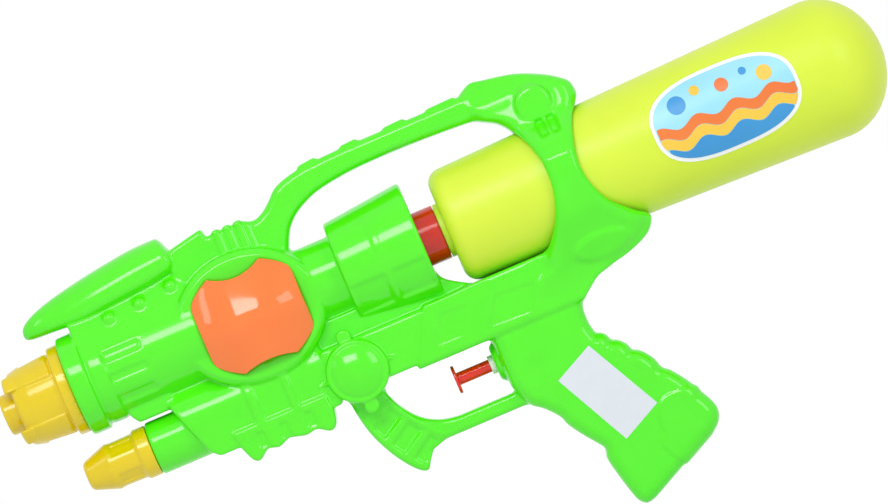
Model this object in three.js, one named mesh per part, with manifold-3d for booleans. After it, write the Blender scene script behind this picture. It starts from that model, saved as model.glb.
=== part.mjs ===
// Water squirter: a toy water pistol with a push-rod pump in the grip and a screw-on bottle tank.
// Millimetres, +Z up. The muzzle points to -X and the left side faces -Y.
// Shapes are laid out from the barrel axis (x to the rear, z above the axis). One group then moves
// everything so that the origin lies at the palm of the grip.
import * as THREE from 'three';
import { mergeVertices } from 'three/addons/utils/BufferGeometryUtils.js';
import Module from 'manifold-3d';

const wasm = await Module();
wasm.setup();

// Palm of the grip, which becomes the origin
const palmX = 128;
const palmZ = -96;

// Walls and clearances
const wall = 2.4;
const fit = 0.3;
const partingGap = 0.3;
const edgeRound = 2.5;

// Facets round a full turn
const largeFacets = 24;
const middleFacets = 16;
const smallFacets = 10;
const drumFacets = 28;
const hollowFacets = 14;

// Main barrel, on the x axis
const barrelFront = -82;
const barrelRadius = 20;
const flangeRadius = 22.3;
const flangeLength = 8.6;
const grooveWidth = 1.4;
const ringRadius = 21;
const ringLength = 7;
const breechRadius = 17.3;
const flareDepth = 24.8;
const flareHalf = 9;
const slotLength = 17;
const slotWidth = 3.4;
const slotDepth = 0.9;
const slotHeights = [6.5, -2.9, -12.5];

// Drum with its domed inserts, its axis along y
const drumZ = -1.7;
const drumRadius = 28.7;
const drumLength = 66;
const drumHalf = 17.2;
const drumBevel = 2.5;
const domeX = 1;
const domeHalfLength = 23.1;
const domeHalfHeight = 21.7;
const domePeakX = 12;
const domeTopScallop = 3.7;
const domeLowScallop = 2;
const domeRise = 9.2;
const domeRim = 3.6;
const domeWall = 1.8;
const pocketDepth = 2;
const pegRadius = 1.7;
const pegLength = 4.5;
const pegSpread = 13;
const passageRadius = 12;

// Blade above the barrel, the spine behind it and its ribs
const bladeNose = -95.4;
const bladeRear = -20.6;
const bladeHalf = 14;
const bladeTopHalf = 5;
const webFront = -74;
const webHalf = 12;
const rivetRadius = 3;
const rivetHeight = 1.1;
const rivets = [[-56, 21], [-41.7, 21.8], [-26.6, 23.6]];
const spineHalf = 9.5;
const spineRibCount = 3;
const spineRibPitch = 5;
const spineRibWidth = 3.4;
const spineRibProud = 1;

// Carry handle
const handleHalf = 8.5;
const padProud = 1.4;
const pads = [[42, 53], [62, 72.5], [82, 94.5], [102, 118]];

// Cup that carries the tank socket
const cupFront = 43.3;
const cupRear = 80.2;
const cupFrontRadius = 22.9;
const cupRearRadius = 26.7;
const cupRearWall = 3.4;
const cupRibX = 61.8;
const cupRibWidth = 2.6;
const cupRibProud = 0.8;
const cupPanelDepth = 0.8;
const cupPanelTop = -7;
const cupPanelBottom = -19;

// Tank
const neckRadius = 10.2;
const neckWall = 1.8;
const neckLength = 10.7;
const lipRadius = 12;
const lipLength = 2;
const tankFrontRadius = 25.5;
const tankRearRadius = 30.8;
const tankCorner = 6.5;
const tankBody = 169.7;
const tankEndLength = 26.5;
const tankWall = 1.6;
const tankPlay = 0.8;

// Tank socket, washer and pick-up tube
const socketRadius = 12.2;
const socketReach = 9.3;
const socketFlangeRadius = 15;
const socketFlangeWidth = 2.4;
const socketHubRadius = 7;
const socketHubLength = 6;
const socketRibWidth = 3;
const washerWidth = 1.5;
const washerHole = 3.4;
const dipRadius = 2.2;
const dipBore = 1.2;
const dipSeatDepth = 1.8;

// Hoses and the nipples that they push over
const hoseRadius = 2.5;
const hoseBore = 1.6;
const nippleBore = 0.7;
const nippleRadius = hoseBore - fit;
const nippleLength = 4.5;
const hoseLead = 5;
const hoseSteps = 22;
const hoseSides = 8;
const dipSteps = 10;

// Main nozzle
const collarRadius = 20.3;
const collarLength = 4.8;
const nozzleLength = 20;
const nozzleFrontRadius = 17;
const nozzleRearRadius = 18.4;
const castleLength = 2.6;
const castleInner = 10.4;
const castleGap = 18;
const bossRadius = 9.1;
const bossReach = 7;
const nozzleFlatWidth = 10;
const nozzleFlatLength = 14;
const nozzleFlatDepth = 0.8;
const spigotRadius = 13.4;
const spigotFlangeRadius = 15.6;
const spigotFlangeWidth = 2.6;
const spigotLead = 5.4;
const spigotLength = 11.6;
const waterBore = 2;
const jetRadius = 3;
const jetLength = 3.6;
const jetBore = 0.8;

// Lower barrel and its nozzle
const lowerZ = -37.8;
const lowerRadius = 11.7;
const lowerFront = -61;
const lowerTipRadius = 6.6;
const lowerLipRadius = 10.6;
const lowerPanelRadius = 9.5;
const lowerCollarRadius = 11.2;
const lowerCollarLength = 5.4;
const lowerPanelLength = 13.5;
const lowerTipLength = 11.6;
const lowerSpigotRadius = 7.6;
const lowerSpigotLength = 9;
const lowerFlangeRadius = 9;
const lowerFlangeWidth = 2;
const lowerFlangeLead = 4;

// Forearm under the barrel
const forearmHalf = 15;
const forearmBottom = -51.8;
const forearmTop = -16;
const forearmWaist = -48.7;
const forearmLedge = -27.3;
const forearmBreak = 22;
const shoulderRadius = 9;
const shoulderZ = -33;
const shoulderTilt = 35;
const footRound = 5;
const ledgeRound = 4;
const neckHalf = 10;
const forearmHeel = 60;
const forearmRear = 76;
const forearmBulkhead = 18.4;
const bandProud = 0.7;
const bands = [[-15.3, -11.3], [1.3, 4.7]];
const combFront = -27;
const combRear = 17.6;
const combTop = -44.5;
const combHalf = 15.8;
const combDrop = 56.6;
const combRecess = 0.8;
const combWindow = 3.6;

// Receiver, round boss and saddle web
const receiverHalf = 16;
const receiverBottom = -51;
const receiverTop = -26;
const troughTop = -25.9;
const receiverRound = 4;
const bossX = 33.2;
const bossZ = -41;
const roundBossRadius = 13.6;
const roundBossProud = 2.2;
const roundDomeRadius = 11;
const roundDomeProud = 5.4;
const knobRadius = 3.4;
const knobReach = 15.8;
const spikeReach = 18.6;
const spikeHalf = 2.8;
const saddleHalf = 10;
const podX = 149.5;
const podZ = -30;
const podLength = 21;
const podHeight = 11;
const podHalf = 23.4;
const hoodBossX = 147.6;
const hoodBossZ = 36;
const hoodBossRadius = 8.5;
const hoodBossHalf = 14.4;

// Grip and trigger guard
const gripHalf = 14.5;
const gripRound = 4;
const gripFront = 91;
const gripBack = 132.3;
const buttFront = [130, -140.5];
const buttRear = [161.5, -124.8];
const backWaves = 4;
const backWaveDepth = 1.3;
const guardHalf = 7;
const guardBottom = -82.7;
const guardTop = -75.7;
const guardRound = 1.6;
const hornPanelDepth = 0.8;
const hornPanels = [
  [[29.6, -66.6], [32.4, -72.4], [42.6, -66.4], [39, -60.6]],
  [[34.4, -76], [37.8, -81.6], [48.4, -75], [44.4, -69.6]],
  [[41, -85], [44.6, -89.4], [47, -86.6], [53.6, -81.8], [50.8, -78.2]],
];

// Pump in the grip, its axis along x
const pumpZ = -61.2;
const pumpFront = 90.6;
const pumpRadius = 5.6;
const pumpBore = 4.5;
const pumpCollarRadius = 6.8;
const pumpCollarWidth = 2.2;
const pumpLength = 25.4;
const pumpEndWall = 1.5;
const pumpSpigotRadius = 2;
const pumpSpigotLength = 4;
const pumpSpigotBore = 0.8;
const glandRadius = 4.1;
const glandReach = 4.4;
const glandDepth = 3.4;
const pumpBossRadius = 8.8;
const pumpBossFront = 88.3;
const pistonLength = 4;
const sealSection = 0.7;
const springWire = 0.4;
const springTurns = 6;
const springMean = 3.2;

// Trigger push rod
const rodRadius = 2.8;
const rodReach = 16.3;
const rodTipRadius = 1.4;
const fingerRadius = 6.3;
const fingerThickness = 1.4;

// Check valves, on an upright axis behind the pump
const valveSetback = 6.6;
const valveRadius = 4.4;
const valveTop = -50.6;
const valveBottom = -72;
const chamberRadius = 2.4;
const seatBore = 1.1;
const ballRadius = 1.9;
const ballGap = 0.15;
const inletSeat = -70;
const inletCrown = -63.6;
const outletSeat = -58.4;
const outletCrown = -52.6;

// Casing screws: x, z
const screwHeadRadius = 2.8;
const screwHeadHeight = 2;
const screwShankRadius = 1.3;
const screwSeat = 4;
const screwDepth = 5.2;
const pillarRadius = 4.6;
const screwPlaces = [
  [-45, -11.5],
  [-36, 37],
  [-8, -47],
  [34.5, 40.5],
  [37.5, -78.5],
  [74, -44.4],
  [147.6, 40.4],
  [150, -112],
];

// Turns for revolved forms: each sends the revolve's own axis to the named one
const axisTurn = {
  x: new THREE.Matrix4().makeBasis(
    new THREE.Vector3(0, 1, 0), new THREE.Vector3(1, 0, 0), new THREE.Vector3(0, 0, -1)),
  y: new THREE.Matrix4(),
  z: new THREE.Matrix4().makeBasis(
    new THREE.Vector3(1, 0, 0), new THREE.Vector3(0, 0, 1), new THREE.Vector3(0, -1, 0)),
};

// Closed solid from a geometry: only positions, merged, faces out
function toSolid(geometry) {
  const bare = geometry.clone();
  bare.deleteAttribute('normal');
  bare.deleteAttribute('uv');
  const merged = mergeVertices(bare, 1e-4);
  const vertices = new Float32Array(merged.attributes.position.array);
  const index = merged.index.array;
  const corner = (i) => new THREE.Vector3().fromArray(vertices, 3 * i);
  const faces = [];
  let volume = 0;
  for (let i = 0; i < index.length; i += 3) {
    const [a, b, c] = [index[i], index[i + 1], index[i + 2]];
    if (a === b || b === c || c === a) continue;
    faces.push([a, b, c]);
    volume += corner(a).dot(corner(b).cross(corner(c)));
  }
  const facesOut = volume < 0 ? faces.map(([a, b, c]) => [a, c, b]) : faces;
  const triVerts = new Uint32Array(facesOut.flat());
  const mesh = new wasm.Mesh({ numProp: 3, vertProperties: vertices, triVerts });
  return new wasm.Manifold(mesh);
}

// Geometry of a finished solid
function toGeometry(solid) {
  const mesh = solid.getMesh();
  const geometry = new THREE.BufferGeometry();
  geometry.setAttribute('position', new THREE.BufferAttribute(new Float32Array(mesh.vertProperties), 3));
  geometry.setIndex(new THREE.BufferAttribute(new Uint32Array(mesh.triVerts), 1));
  geometry.computeVertexNormals();
  return geometry;
}

const join = (solids) => solids.reduce((sum, solid) => sum.add(solid));

// Revolved solid from [along, radius] pairs about an axis through (x, z)
function revolve(axis, x, z, profile, segments) {
  const points = profile.map(([along, radius]) => new THREE.Vector2(radius, along));
  const geometry = new THREE.LatheGeometry(points, segments);
  geometry.applyMatrix4(axisTurn[axis]);
  geometry.translate(x, 0, z);
  return toSolid(geometry);
}

// Revolved ring: the profile is closed on itself
function ring(axis, x, z, profile, segments) {
  return revolve(axis, x, z, [...profile, profile[0]], segments);
}

// Round bar between two places along an axis
function rod(axis, x, z, from, to, radius, segments = smallFacets) {
  return revolve(axis, x, z, [[from, 0], [from, radius], [to, radius], [to, 0]], segments);
}

// Box between two corners
function block(x0, x1, y0, y1, z0, z1) {
  const geometry = new THREE.BoxGeometry(x1 - x0, y1 - y0, z1 - z0);
  geometry.translate((x0 + x1) / 2, (y0 + y1) / 2, (z0 + z1) / 2);
  return toSolid(geometry);
}

// Outline in x and z, made as thick as 2 * half about the parting plane, with round edges
function slab(points, half, round = 0) {
  const level = (inset, y) => mitred(points, inset).map((p) => new THREE.Vector3(p.x, y, p.y));
  if (round === 0) return loft([level(0, -half), level(0, half)], points);
  const shoulderY = half - round;
  return loft([level(round, -half), level(0, -shoulderY), level(0, shoulderY), level(round, half)], points);
}

// Section in y and z, drawn out along x
function drawn(points, x0, x1) {
  const settings = { depth: x1 - x0, steps: 1, bevelEnabled: false };
  const geometry = new THREE.ExtrudeGeometry(new THREE.Shape(points), settings);
  geometry.applyMatrix4(new THREE.Matrix4().makeBasis(
    new THREE.Vector3(0, 1, 0), new THREE.Vector3(0, 0, 1), new THREE.Vector3(1, 0, 0)));
  geometry.translate(x0, 0, 0);
  return toSolid(geometry);
}

// Skin over rings of points with the same count, closed by flat ends cut up like the given outline
function loft(rings, outline) {
  const count = rings[0].length;
  const positions = rings.flat().flatMap((p) => [p.x, p.y, p.z]);
  const index = [];
  for (let k = 0; k + 1 < rings.length; k += 1) {
    for (let i = 0; i < count; i += 1) {
      const [a, b] = [k * count + i, k * count + ((i + 1) % count)];
      index.push(a, b, b + count, a, b + count, a + count);
    }
  }
  const last = (rings.length - 1) * count;
  const turn = Math.sign(THREE.ShapeUtils.area(outline));
  for (const [a, p, q] of THREE.ShapeUtils.triangulateShape([...outline], [])) {
    const along = turn === Math.sign(THREE.ShapeUtils.area([outline[a], outline[p], outline[q]]));
    const [b, c] = along ? [p, q] : [q, p];
    index.push(a, c, b);
    index.push(last + a, last + b, last + c);
  }
  const geometry = new THREE.BufferGeometry();
  geometry.setAttribute('position', new THREE.Float32BufferAttribute(positions, 3));
  geometry.setIndex(index);
  return toSolid(geometry);
}

const at = (x, z) => new THREE.Vector2(x, z);
const straight = (pairs) => pairs.map(([x, z]) => at(x, z));

// Points on a smooth curve through the given pairs
function smooth(pairs, stepsPerSpan = 1) {
  return new THREE.SplineCurve(straight(pairs)).getPoints(stepsPerSpan * (pairs.length - 1));
}

// Points on a circle's arc, angles in degrees
function arc(x, z, radius, from, to, steps) {
  const rad = THREE.MathUtils.degToRad;
  return new THREE.EllipseCurve(x, z, radius, radius, rad(from), rad(to), to < from).getPoints(steps);
}

// Outline with every corner moved in by a distance (out where it is negative)
function mitred(points, distance) {
  const inward = Math.sign(THREE.ShapeUtils.area(points));
  const count = points.length;
  const normal = (from, to) => at(from.y - to.y, to.x - from.x).normalize().multiplyScalar(inward);
  return points.map((corner, i) => {
    const before = normal(points[(i + count - 1) % count], corner);
    const after = normal(corner, points[(i + 1) % count]);
    const mitre = before.clone().add(after).divideScalar(1 + before.dot(after));
    return corner.clone().addScaledVector(mitre, distance);
  });
}

// Outline moved in by a distance, without the points that would fold over
function offsetOutline(points, distance) {
  const count = points.length;
  const reach = (p) => Math.min(...points.map((from, i) => {
    const along = points[(i + 1) % count].clone().sub(from);
    const share = THREE.MathUtils.clamp(p.clone().sub(from).dot(along) / along.lengthSq(), 0, 1);
    return from.clone().addScaledVector(along, share).distanceTo(p);
  }));
  return mitred(points, distance).filter((p) => reach(p) > Math.abs(distance) - 0.03);
}

// Section with round upper and lower corners, in y and z
function roundSection(half, low, high, topRound, lowRound) {
  return [
    ...arc(half - topRound, high - topRound, topRound, 0, 90, 4),
    ...arc(topRound - half, high - topRound, topRound, 90, 180, 4),
    ...arc(lowRound - half, low + lowRound, lowRound, 180, 270, 3),
    ...arc(half - lowRound, low + lowRound, lowRound, 270, 360, 3),
  ];
}

// Both sides of a cut that is made from the flanks
const bothSides = (make) => make(1).add(make(-1));

// Main nozzle stations along x
const collarRear = barrelFront - fit;
const collarFront = collarRear - collarLength;
const nozzleFront = collarFront - nozzleLength;
const bossFront = nozzleFront - bossReach;
const spigotFlangeFront = barrelFront + spigotLead;
const spigotFlangeRear = spigotFlangeFront + spigotFlangeWidth;
const spigotEnd = barrelFront + spigotLength;
const deliveryStop = spigotEnd + fit;
const nozzleNippleEnd = spigotEnd + nippleLength;

// Tank socket and tank stations along x
const cupInside = cupRear - cupRearWall;
const socketFlangeRear = cupInside - fit;
const socketFlangeFront = socketFlangeRear - socketFlangeWidth;
const socketRibRear = socketFlangeFront - fit;
const socketRibFront = socketRibRear - socketRibWidth;
const socketHubFront = socketFlangeFront - socketHubLength;
const socketNippleEnd = socketHubFront - nippleLength;
const socketEnd = cupRear + socketReach;
const lipFront = socketEnd + fit;
const neckEnd = lipFront - neckLength;
const washerFront = neckEnd - fit - washerWidth;
const socketBase = washerFront - fit;
const shoulder = lipFront + lipLength;
const tankRear = shoulder + tankCorner + tankBody;
const tankSlope = (tankRearRadius - tankFrontRadius) / tankBody;
const tankRadiusAt = (x) => tankFrontRadius + tankSlope * (x - shoulder - tankCorner);

// Pump stations along x
const pumpRear = pumpFront + pumpLength;
const pumpBoreEnd = pumpRear - pumpEndWall;
const valveX = pumpRear + valveSetback;
const glandRear = pumpFront + glandDepth;
const pistonFront = glandRear + fit;
const pistonRear = pistonFront + pistonLength;
const fingerRear = pumpFront - glandReach - rodReach + fingerThickness;

// Outline of the grip; its back is scalloped, or runs level with the tops of the waves
function gripOutline(scalloped) {
  const front = smooth([
    [gripFront, guardTop + 3], [95.2, guardBottom], [100.2, -87], [105.2, -92.8], [107, -97.4], [111, -103.6],
    [115.4, -109.4], [117.7, -113], [116.8, -117.4], [118.2, -124.8], [120.8, -135], [122.6, -139.4],
    [125.6, -141.5], buttFront,
  ]);
  const heel = smooth([buttRear, [166.2, -120.8], [168, -116], [166.6, -111], [164.2, -106.6]]);
  const knots = straight([[164.2, -106.6], [150.4, -85.4], [140.4, -73.6], [133.4, -66.4]]);
  const line = new THREE.SplineCurve(knots);
  const steps = scalloped ? 4 * backWaves : backWaves;
  const back = [];
  for (let i = 1; i <= steps; i += 1) {
    const place = line.getPointAt(i / steps);
    const along = line.getTangentAt(i / steps);
    const share = scalloped ? Math.abs(Math.sin((Math.PI * backWaves * i) / steps)) : 1;
    back.push(place.add(at(along.y, -along.x).multiplyScalar(share * backWaveDepth)));
  }
  const throat = smooth([[gripBack, -61], [gripBack + 0.2, -54], [135, receiverBottom + 3]]);
  return [at(gripFront, receiverBottom + 3), ...front, ...heel, ...back, ...throat];
}

// Blade: sections across x with a ridge on each flank
function blade() {
  const stations = [
    { x: bladeNose, low: 28.2, ridge: 29.2, high: 30.2, share: 0.1 },
    { x: -93.5, low: 26.4, ridge: 29, high: 32, share: 0.3 },
    { x: -88, low: 25.6, ridge: 28.4, high: 35.1, share: 0.55 },
    { x: -80, low: 25.2, ridge: 28.6, high: 38, share: 0.75 },
    { x: -68, low: 24.6, ridge: 30.7, high: 40.8, share: 0.9 },
    { x: -50, low: 26.2, ridge: 33, high: 43.8, share: 1 },
    { x: -34, low: 27.8, ridge: 35, high: 45.5, share: 1 },
    { x: -25.6, low: 29.2, ridge: 36, high: 45.6, share: 0.97 },
    { x: bladeRear, low: 30.2, ridge: 36, high: 38.4, share: 0.9 },
  ];
  return loft(stations.map(({ x, low, ridge, high, share }) => {
    const half = bladeHalf * share;
    const topHalf = Math.min(bladeTopHalf, half * 0.6);
    const lowHalf = half * 0.86;
    return [[half, ridge], [topHalf, high], [-topHalf, high], [-half, ridge], [-lowHalf, low], [lowHalf, low]]
      .map(([y, z]) => new THREE.Vector3(x, y, z));
  }), straight([[2, 0], [1, 2], [-1, 2], [-2, 0], [-1, -2], [1, -2]]));
}

// Strap round the tank, with the hood above and the foot below: sections at heights
function strap() {
  const stations = [
    { z: -41, front: 112, rear: 150.5, half: 15.6 },
    { z: -36.5, front: 116, rear: 167.2, half: 17.6 },
    { z: -32.5, front: 122, rear: 172.4, half: 19.6 },
    { z: -28, front: 124.6, rear: 174.4, half: 22 },
    { z: -23.4, front: 129.4, rear: 169, half: 24.6 },
    { z: -12.4, front: 136.4, rear: 158.8, half: 29.6 },
    { z: 3, front: 140.2, rear: 154.6, half: 31.6 },
    { z: 10, front: 140.2, rear: 155.4, half: 30.2 },
    { z: 18.6, front: 138, rear: 158.2, half: 26 },
    { z: 27, front: 134.2, rear: 162.8, half: 19 },
    { z: 32.8, front: 129.8, rear: 166, half: 14.4 },
    { z: 37.4, front: 122.6, rear: 165.4, half: 12 },
    { z: 42.5, front: 119.6, rear: 160.2, half: 11 },
    { z: 47, front: 118.8, rear: 152.4, half: 9.6 },
    { z: 50.6, front: 119.4, rear: 143.4, half: 8.2 },
    { z: 53.9, front: 124.2, rear: 127.6, half: 5 },
  ];
  return loft(stations.map(({ z, front: x0, rear: x1, half: y }) => {
    const cut = Math.min(0.45 * y, 0.3 * (x1 - x0));
    return [
      [x0 + cut, -y], [x1 - cut, -y], [x1 - cut / 3, -y * 0.8], [x1, -y + 2 * cut], [x1, y - 2 * cut],
      [x1 - cut / 3, y * 0.8], [x1 - cut, y], [x0 + cut, y], [x0 + cut / 3, y * 0.8], [x0, y - 2 * cut],
      [x0, 2 * cut - y], [x0 + cut / 3, -y * 0.8],
    ].map(([px, py]) => new THREE.Vector3(px, py, z));
  }), arc(0, 0, 1, -120, 210, 11));
}

// Outline of the domed insert, about its own centre
function domeOutline() {
  const corner = smooth([
    [domeHalfLength, 0.53 * domeHalfHeight], [domeHalfLength - 1.5, 0.7 * domeHalfHeight],
    [domeHalfLength - 6.4, 0.88 * domeHalfHeight], [domePeakX, domeHalfHeight],
  ], 1);
  const half = (depth) => {
    const scallop = [-0.6, 0, 0.6].map((share) => (
      at(-share * domePeakX, domeHalfHeight - depth * (1 - share * share))));
    return [...corner, ...scallop, ...corner.map((p) => at(-p.x, p.y)).reverse()];
  };
  return [...half(domeTopScallop), ...half(domeLowScallop).map((p) => at(-p.x, -p.y))];
}

// Domed form over an outline: upright rim, then an even cap whose rings pass into ovals
function crown(outline, base, rim, rise) {
  const reachX = Math.max(...outline.map((p) => p.x));
  const reachZ = Math.max(...outline.map((p) => p.y));
  const height = (p) => {
    const drop = (p.x / reachX) ** 2 + (p.y / reachZ) ** 2;
    return rim + rise * (1 - drop);
  };
  const ring = (scale) => outline.map((p) => {
    const turn = Math.atan2(p.y / reachZ, p.x / reachX);
    const oval = at(reachX * Math.cos(turn), reachZ * Math.sin(turn));
    const place = oval.lerp(p, scale ** 3).multiplyScalar(scale);
    return new THREE.Vector3(place.x + domeX, height(place), place.y + drumZ);
  });
  const foot = outline.map((p) => new THREE.Vector3(p.x + domeX, base, p.y + drumZ));
  return loft([foot, ring(1), ring(0.85), ring(0.6), ring(0.3)], outline);
}

// Section of the front forearm: upright flanks that lean in above their shoulders
function shoulderSection(inset, low, high, lowRound) {
  const round = arc(forearmHalf - shoulderRadius, shoulderZ, shoulderRadius - inset, 0, shoulderTilt, 3);
  const last = round[round.length - 1];
  const lean = Math.tan(THREE.MathUtils.degToRad(shoulderTilt));
  const foot = arc(forearmHalf - inset - lowRound, low + lowRound, lowRound, 270, 360, 3);
  const right = [...foot, ...round, at(last.x - (high - last.y) * lean, high)];
  return [...right, ...right.map((p) => at(-p.x, p.y)).reverse()];
}

// Forearm outside, or its room inside, which ends at the bulkhead under the cup
function forearm(inset) {
  const [low, high] = [forearmBottom + inset, forearmTop - inset];
  const nose = straight([
    [-50.4 + inset, high], [-38.2 + inset, -48.2], [-34.4 + inset, low],
    [forearmBreak, low], [forearmBreak, high],
  ]);
  const section = shoulderSection(inset, low, high, footRound);
  const front = slab(nose, forearmHalf).intersect(drawn(section, -60, forearmBreak));
  const [waist, ledge] = [forearmWaist + inset, forearmLedge - inset];
  const rear = forearmRear - (inset > 0 ? forearmBulkhead : 0);
  const start = forearmBreak - 1;
  const heel = straight([
    [start, waist], [forearmHeel - inset, waist], [rear, receiverTop], [start, receiverTop],
  ]);
  const back = drawn(roundSection(forearmHalf - inset, waist, ledge, ledgeRound, ledgeRound), start, rear);
  return front.add(slab(heel, forearmHalf).intersect(back));
}

// Receiver behind the forearm, with its swept tail
function receiver(inset) {
  const [low, high] = [receiverBottom + inset, receiverTop - inset];
  const side = [
    ...straight([
      [57 + inset, low], [69.5 + inset, high], [80, high],
      [97, troughTop - inset], [127, troughTop - inset],
    ]),
    at(168 - 2 * inset, -27.6 - inset),
    ...smooth([[174 - 3 * inset, -29.4 - inset], [170 - 2 * inset, -34.8 + inset / 2], [160, -39.3 + inset],
      [146, -42.6 + inset], [139 - inset, -46.8 + inset], [134 - inset, low]]),
  ];
  const section = roundSection(receiverHalf - inset, low, high, receiverRound, 3);
  return slab(side, receiverHalf + 1).intersect(drawn(section, 40, 190));
}

// Saddle web that sweeps from the cup down to the receiver
function saddleWeb() {
  const sweep = smooth([[cupRear, -14.6], [81.6, -17.6], [84.4, -20.4], [92, -25], [98, -27.8]]);
  return slab([at(cupRear - 4, -14.6), ...sweep, at(98, -36), at(cupRear - 4, -36)], saddleHalf);
}

// Comb block with its scalloped underside
function comb() {
  const waves = smooth([
    [combFront + 2, -53], [-22.6, -58.4], [-19.6, -combDrop - 3.2], [-15, -combDrop], [-10, -combDrop - 1.1],
    [-4.6, -combDrop + 0.6], [2.6, -combDrop - 1], [7.6, -combDrop - 0.4], [12.8, -combDrop - 3.4],
    [16, -58.2], [combRear, -52.6],
  ]);
  const body = slab([at(combFront, combTop), ...waves, at(combRear - 0.8, combTop)], combHalf, 0.8);
  const windows = [-15, -5.5, 6.3].map((x) => bothSides((side) => {
    const [inner, outer] = [combHalf - combRecess, combHalf + 2];
    return block(x - combWindow / 2, x + combWindow / 2, Math.min(side * inner, side * outer),
      Math.max(side * inner, side * outer), -54.4, -49.2);
  }));
  return body.subtract(join(windows));
}

// Trigger guard with its front horn
function guard() {
  const outer = smooth([
    [24.4, -50], [25.6, -60], [28.2, -70], [33, -80.2], [38.4, -88], [42.4, -91.6], [45, -91.8], [47.4, -88],
    [51, -84.6], [57, guardBottom],
  ]);
  const inner = smooth([
    [66, guardTop], [58.6, -74.4], [51.4, -70.8], [45.6, -64.8], [41.8, -58.6], [40, -50],
  ]);
  const bar = straight([[gripFront + 4, guardBottom], [gripFront + 4, guardTop]]);
  const body = slab([...outer, ...bar, ...inner], guardHalf, guardRound);
  const panels = join(hornPanels.map((corners) => slab(straight(corners), 2 * guardHalf)));
  const core = block(20, 60, hornPanelDepth - guardHalf, guardHalf - hornPanelDepth, -95, -50);
  return body.subtract(panels.subtract(core));
}

// Handle with the grip pads along its top
function handle() {
  const top = smooth([
    [14, 36], [18, 36], [22.4, 38], [26.4, 41.2], [30.6, 45], [37, 47.4], [46, 49], [62, 49.8],
  ]);
  const under = smooth([
    [110, 38.9], [95, 39.5], [80, 39.7], [64, 39.2], [50, 37.4], [42, 35], [35, 31.2], [30, 26.2],
    [26.2, 18.6],
  ]);
  const side = [at(14, 12), ...top, at(124, 50), at(124, 38), ...under, at(25.6, 12)];
  const proud = pads.map(([x0, x1], i) => {
    const sink = i === 0 ? 0.9 : 0;
    const [front, rear] = [49.4 + padProud - sink, 49.8 + padProud - sink / 2];
    return slab(straight([[x0, 46], [x0 + 1.2, front], [x1 - 1.2, rear], [x1, 46]]), handleHalf - 1.4, 0.8);
  });
  return join([slab(side, handleHalf, edgeRound), ...proud]);
}

// Spine over the drum with its ribs
function spine() {
  const side = straight([
    [-24, 15], [-24, 33.6], [-21, 38.2], [-5.4, 41.4], [-4.6, 37.4], [13, 37.4], [15, 35.4], [15, 15],
  ]);
  const ribs = [];
  for (let i = 0; i < spineRibCount; i += 1) {
    const x = 0.2 + spineRibPitch * i;
    const rib = straight([[x, 24], [x + spineRibWidth, 24], [x + spineRibWidth, 38.6], [x, 38.6]]);
    ribs.push(slab(rib.map((p) => at(p.x - spineRibWidth / 2, p.y)), spineHalf + spineRibProud, 0.8));
  }
  return join([slab(side, spineHalf, 2), ...ribs]);
}

// Cup outside, grown by a distance
function cup(grow) {
  return revolve('x', 0, 0, [
    [cupFront, 0], [cupFront, cupFrontRadius + grow - 0.6], [cupFront + 0.6, cupFrontRadius + grow],
    [cupRear - 0.8, cupRearRadius + grow], [cupRear, cupRearRadius + grow - 0.8], [cupRear, 0],
  ], largeFacets);
}

// Cup with its rib and the shallow panels on its lower flanks
function dressedCup() {
  const slope = (cupRearRadius - cupFrontRadius) / (cupRear - cupFront);
  const ribTop = (x) => cupFrontRadius + slope * (x - cupFront) + cupRibProud;
  const [ribFront, ribRear] = [cupRibX - cupRibWidth / 2, cupRibX + cupRibWidth / 2];
  const rib = revolve('x', 0, 0, [
    [ribFront, 0], [ribFront, ribTop(ribFront)], [ribRear, ribTop(ribRear)], [ribRear, 0],
  ], largeFacets);
  const windows = [[cupFront + 1.4, ribFront - 1.4], [ribRear + 1.4, cupRear - 1.6]]
    .map(([x0, x1]) => block(x0, x1, -40, 40, cupPanelBottom, cupPanelTop));
  const skin = cup(1).subtract(cup(-cupPanelDepth));
  return cup(0).subtract(skin.intersect(join(windows))).add(rib);
}

// Round boss on the forearm's flank, with a knob above and below and a spike at each side
function roundBoss() {
  const [base, face] = [receiverHalf + roundBossProud, receiverHalf + roundDomeProud];
  const dome = revolve('y', bossX, bossZ, [
    [-face, 0], [-face + 0.7, 0.6 * roundDomeRadius], [-base, roundDomeRadius], [-base, roundBossRadius],
    [base, roundBossRadius], [base, roundDomeRadius], [face - 0.7, 0.6 * roundDomeRadius], [face, 0],
  ], middleFacets);
  const knobFace = receiverHalf + 0.8;
  const knob = (z) => bothSides((side) => {
    const [inner, outer] = [side * (forearmHalf - ledgeRound), side * knobFace];
    return rod('y', bossX, z, Math.min(inner, outer), Math.max(inner, outer), knobRadius, smallFacets);
  });
  const spikes = slab(straight([
    [bossX - spikeReach, bossZ], [bossX, bossZ - spikeHalf],
    [bossX + spikeReach, bossZ], [bossX, bossZ + spikeHalf],
  ]), knobFace);
  return join([dome, spikes, knob(bossZ + knobReach), knob(bossZ - knobReach)]);
}

// Barrel with flange, ring and breech tube
function barrel() {
  const flangeRear = barrelFront + flangeLength;
  const ringFront = flangeRear + grooveWidth;
  const ringRear = ringFront + ringLength;
  return revolve('x', 0, 0, [
    [barrelFront, 0], [barrelFront, flangeRadius - 0.8], [barrelFront + 0.8, flangeRadius],
    [flangeRear, flangeRadius], [flangeRear, barrelRadius + 0.4], [ringFront, barrelRadius + 0.4],
    [ringFront, ringRadius], [ringRear, ringRadius], [ringRear, barrelRadius],
    [0, barrelRadius], [0, breechRadius], [cupFront + 2, breechRadius], [cupFront + 2, 0],
  ], largeFacets);
}

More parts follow.
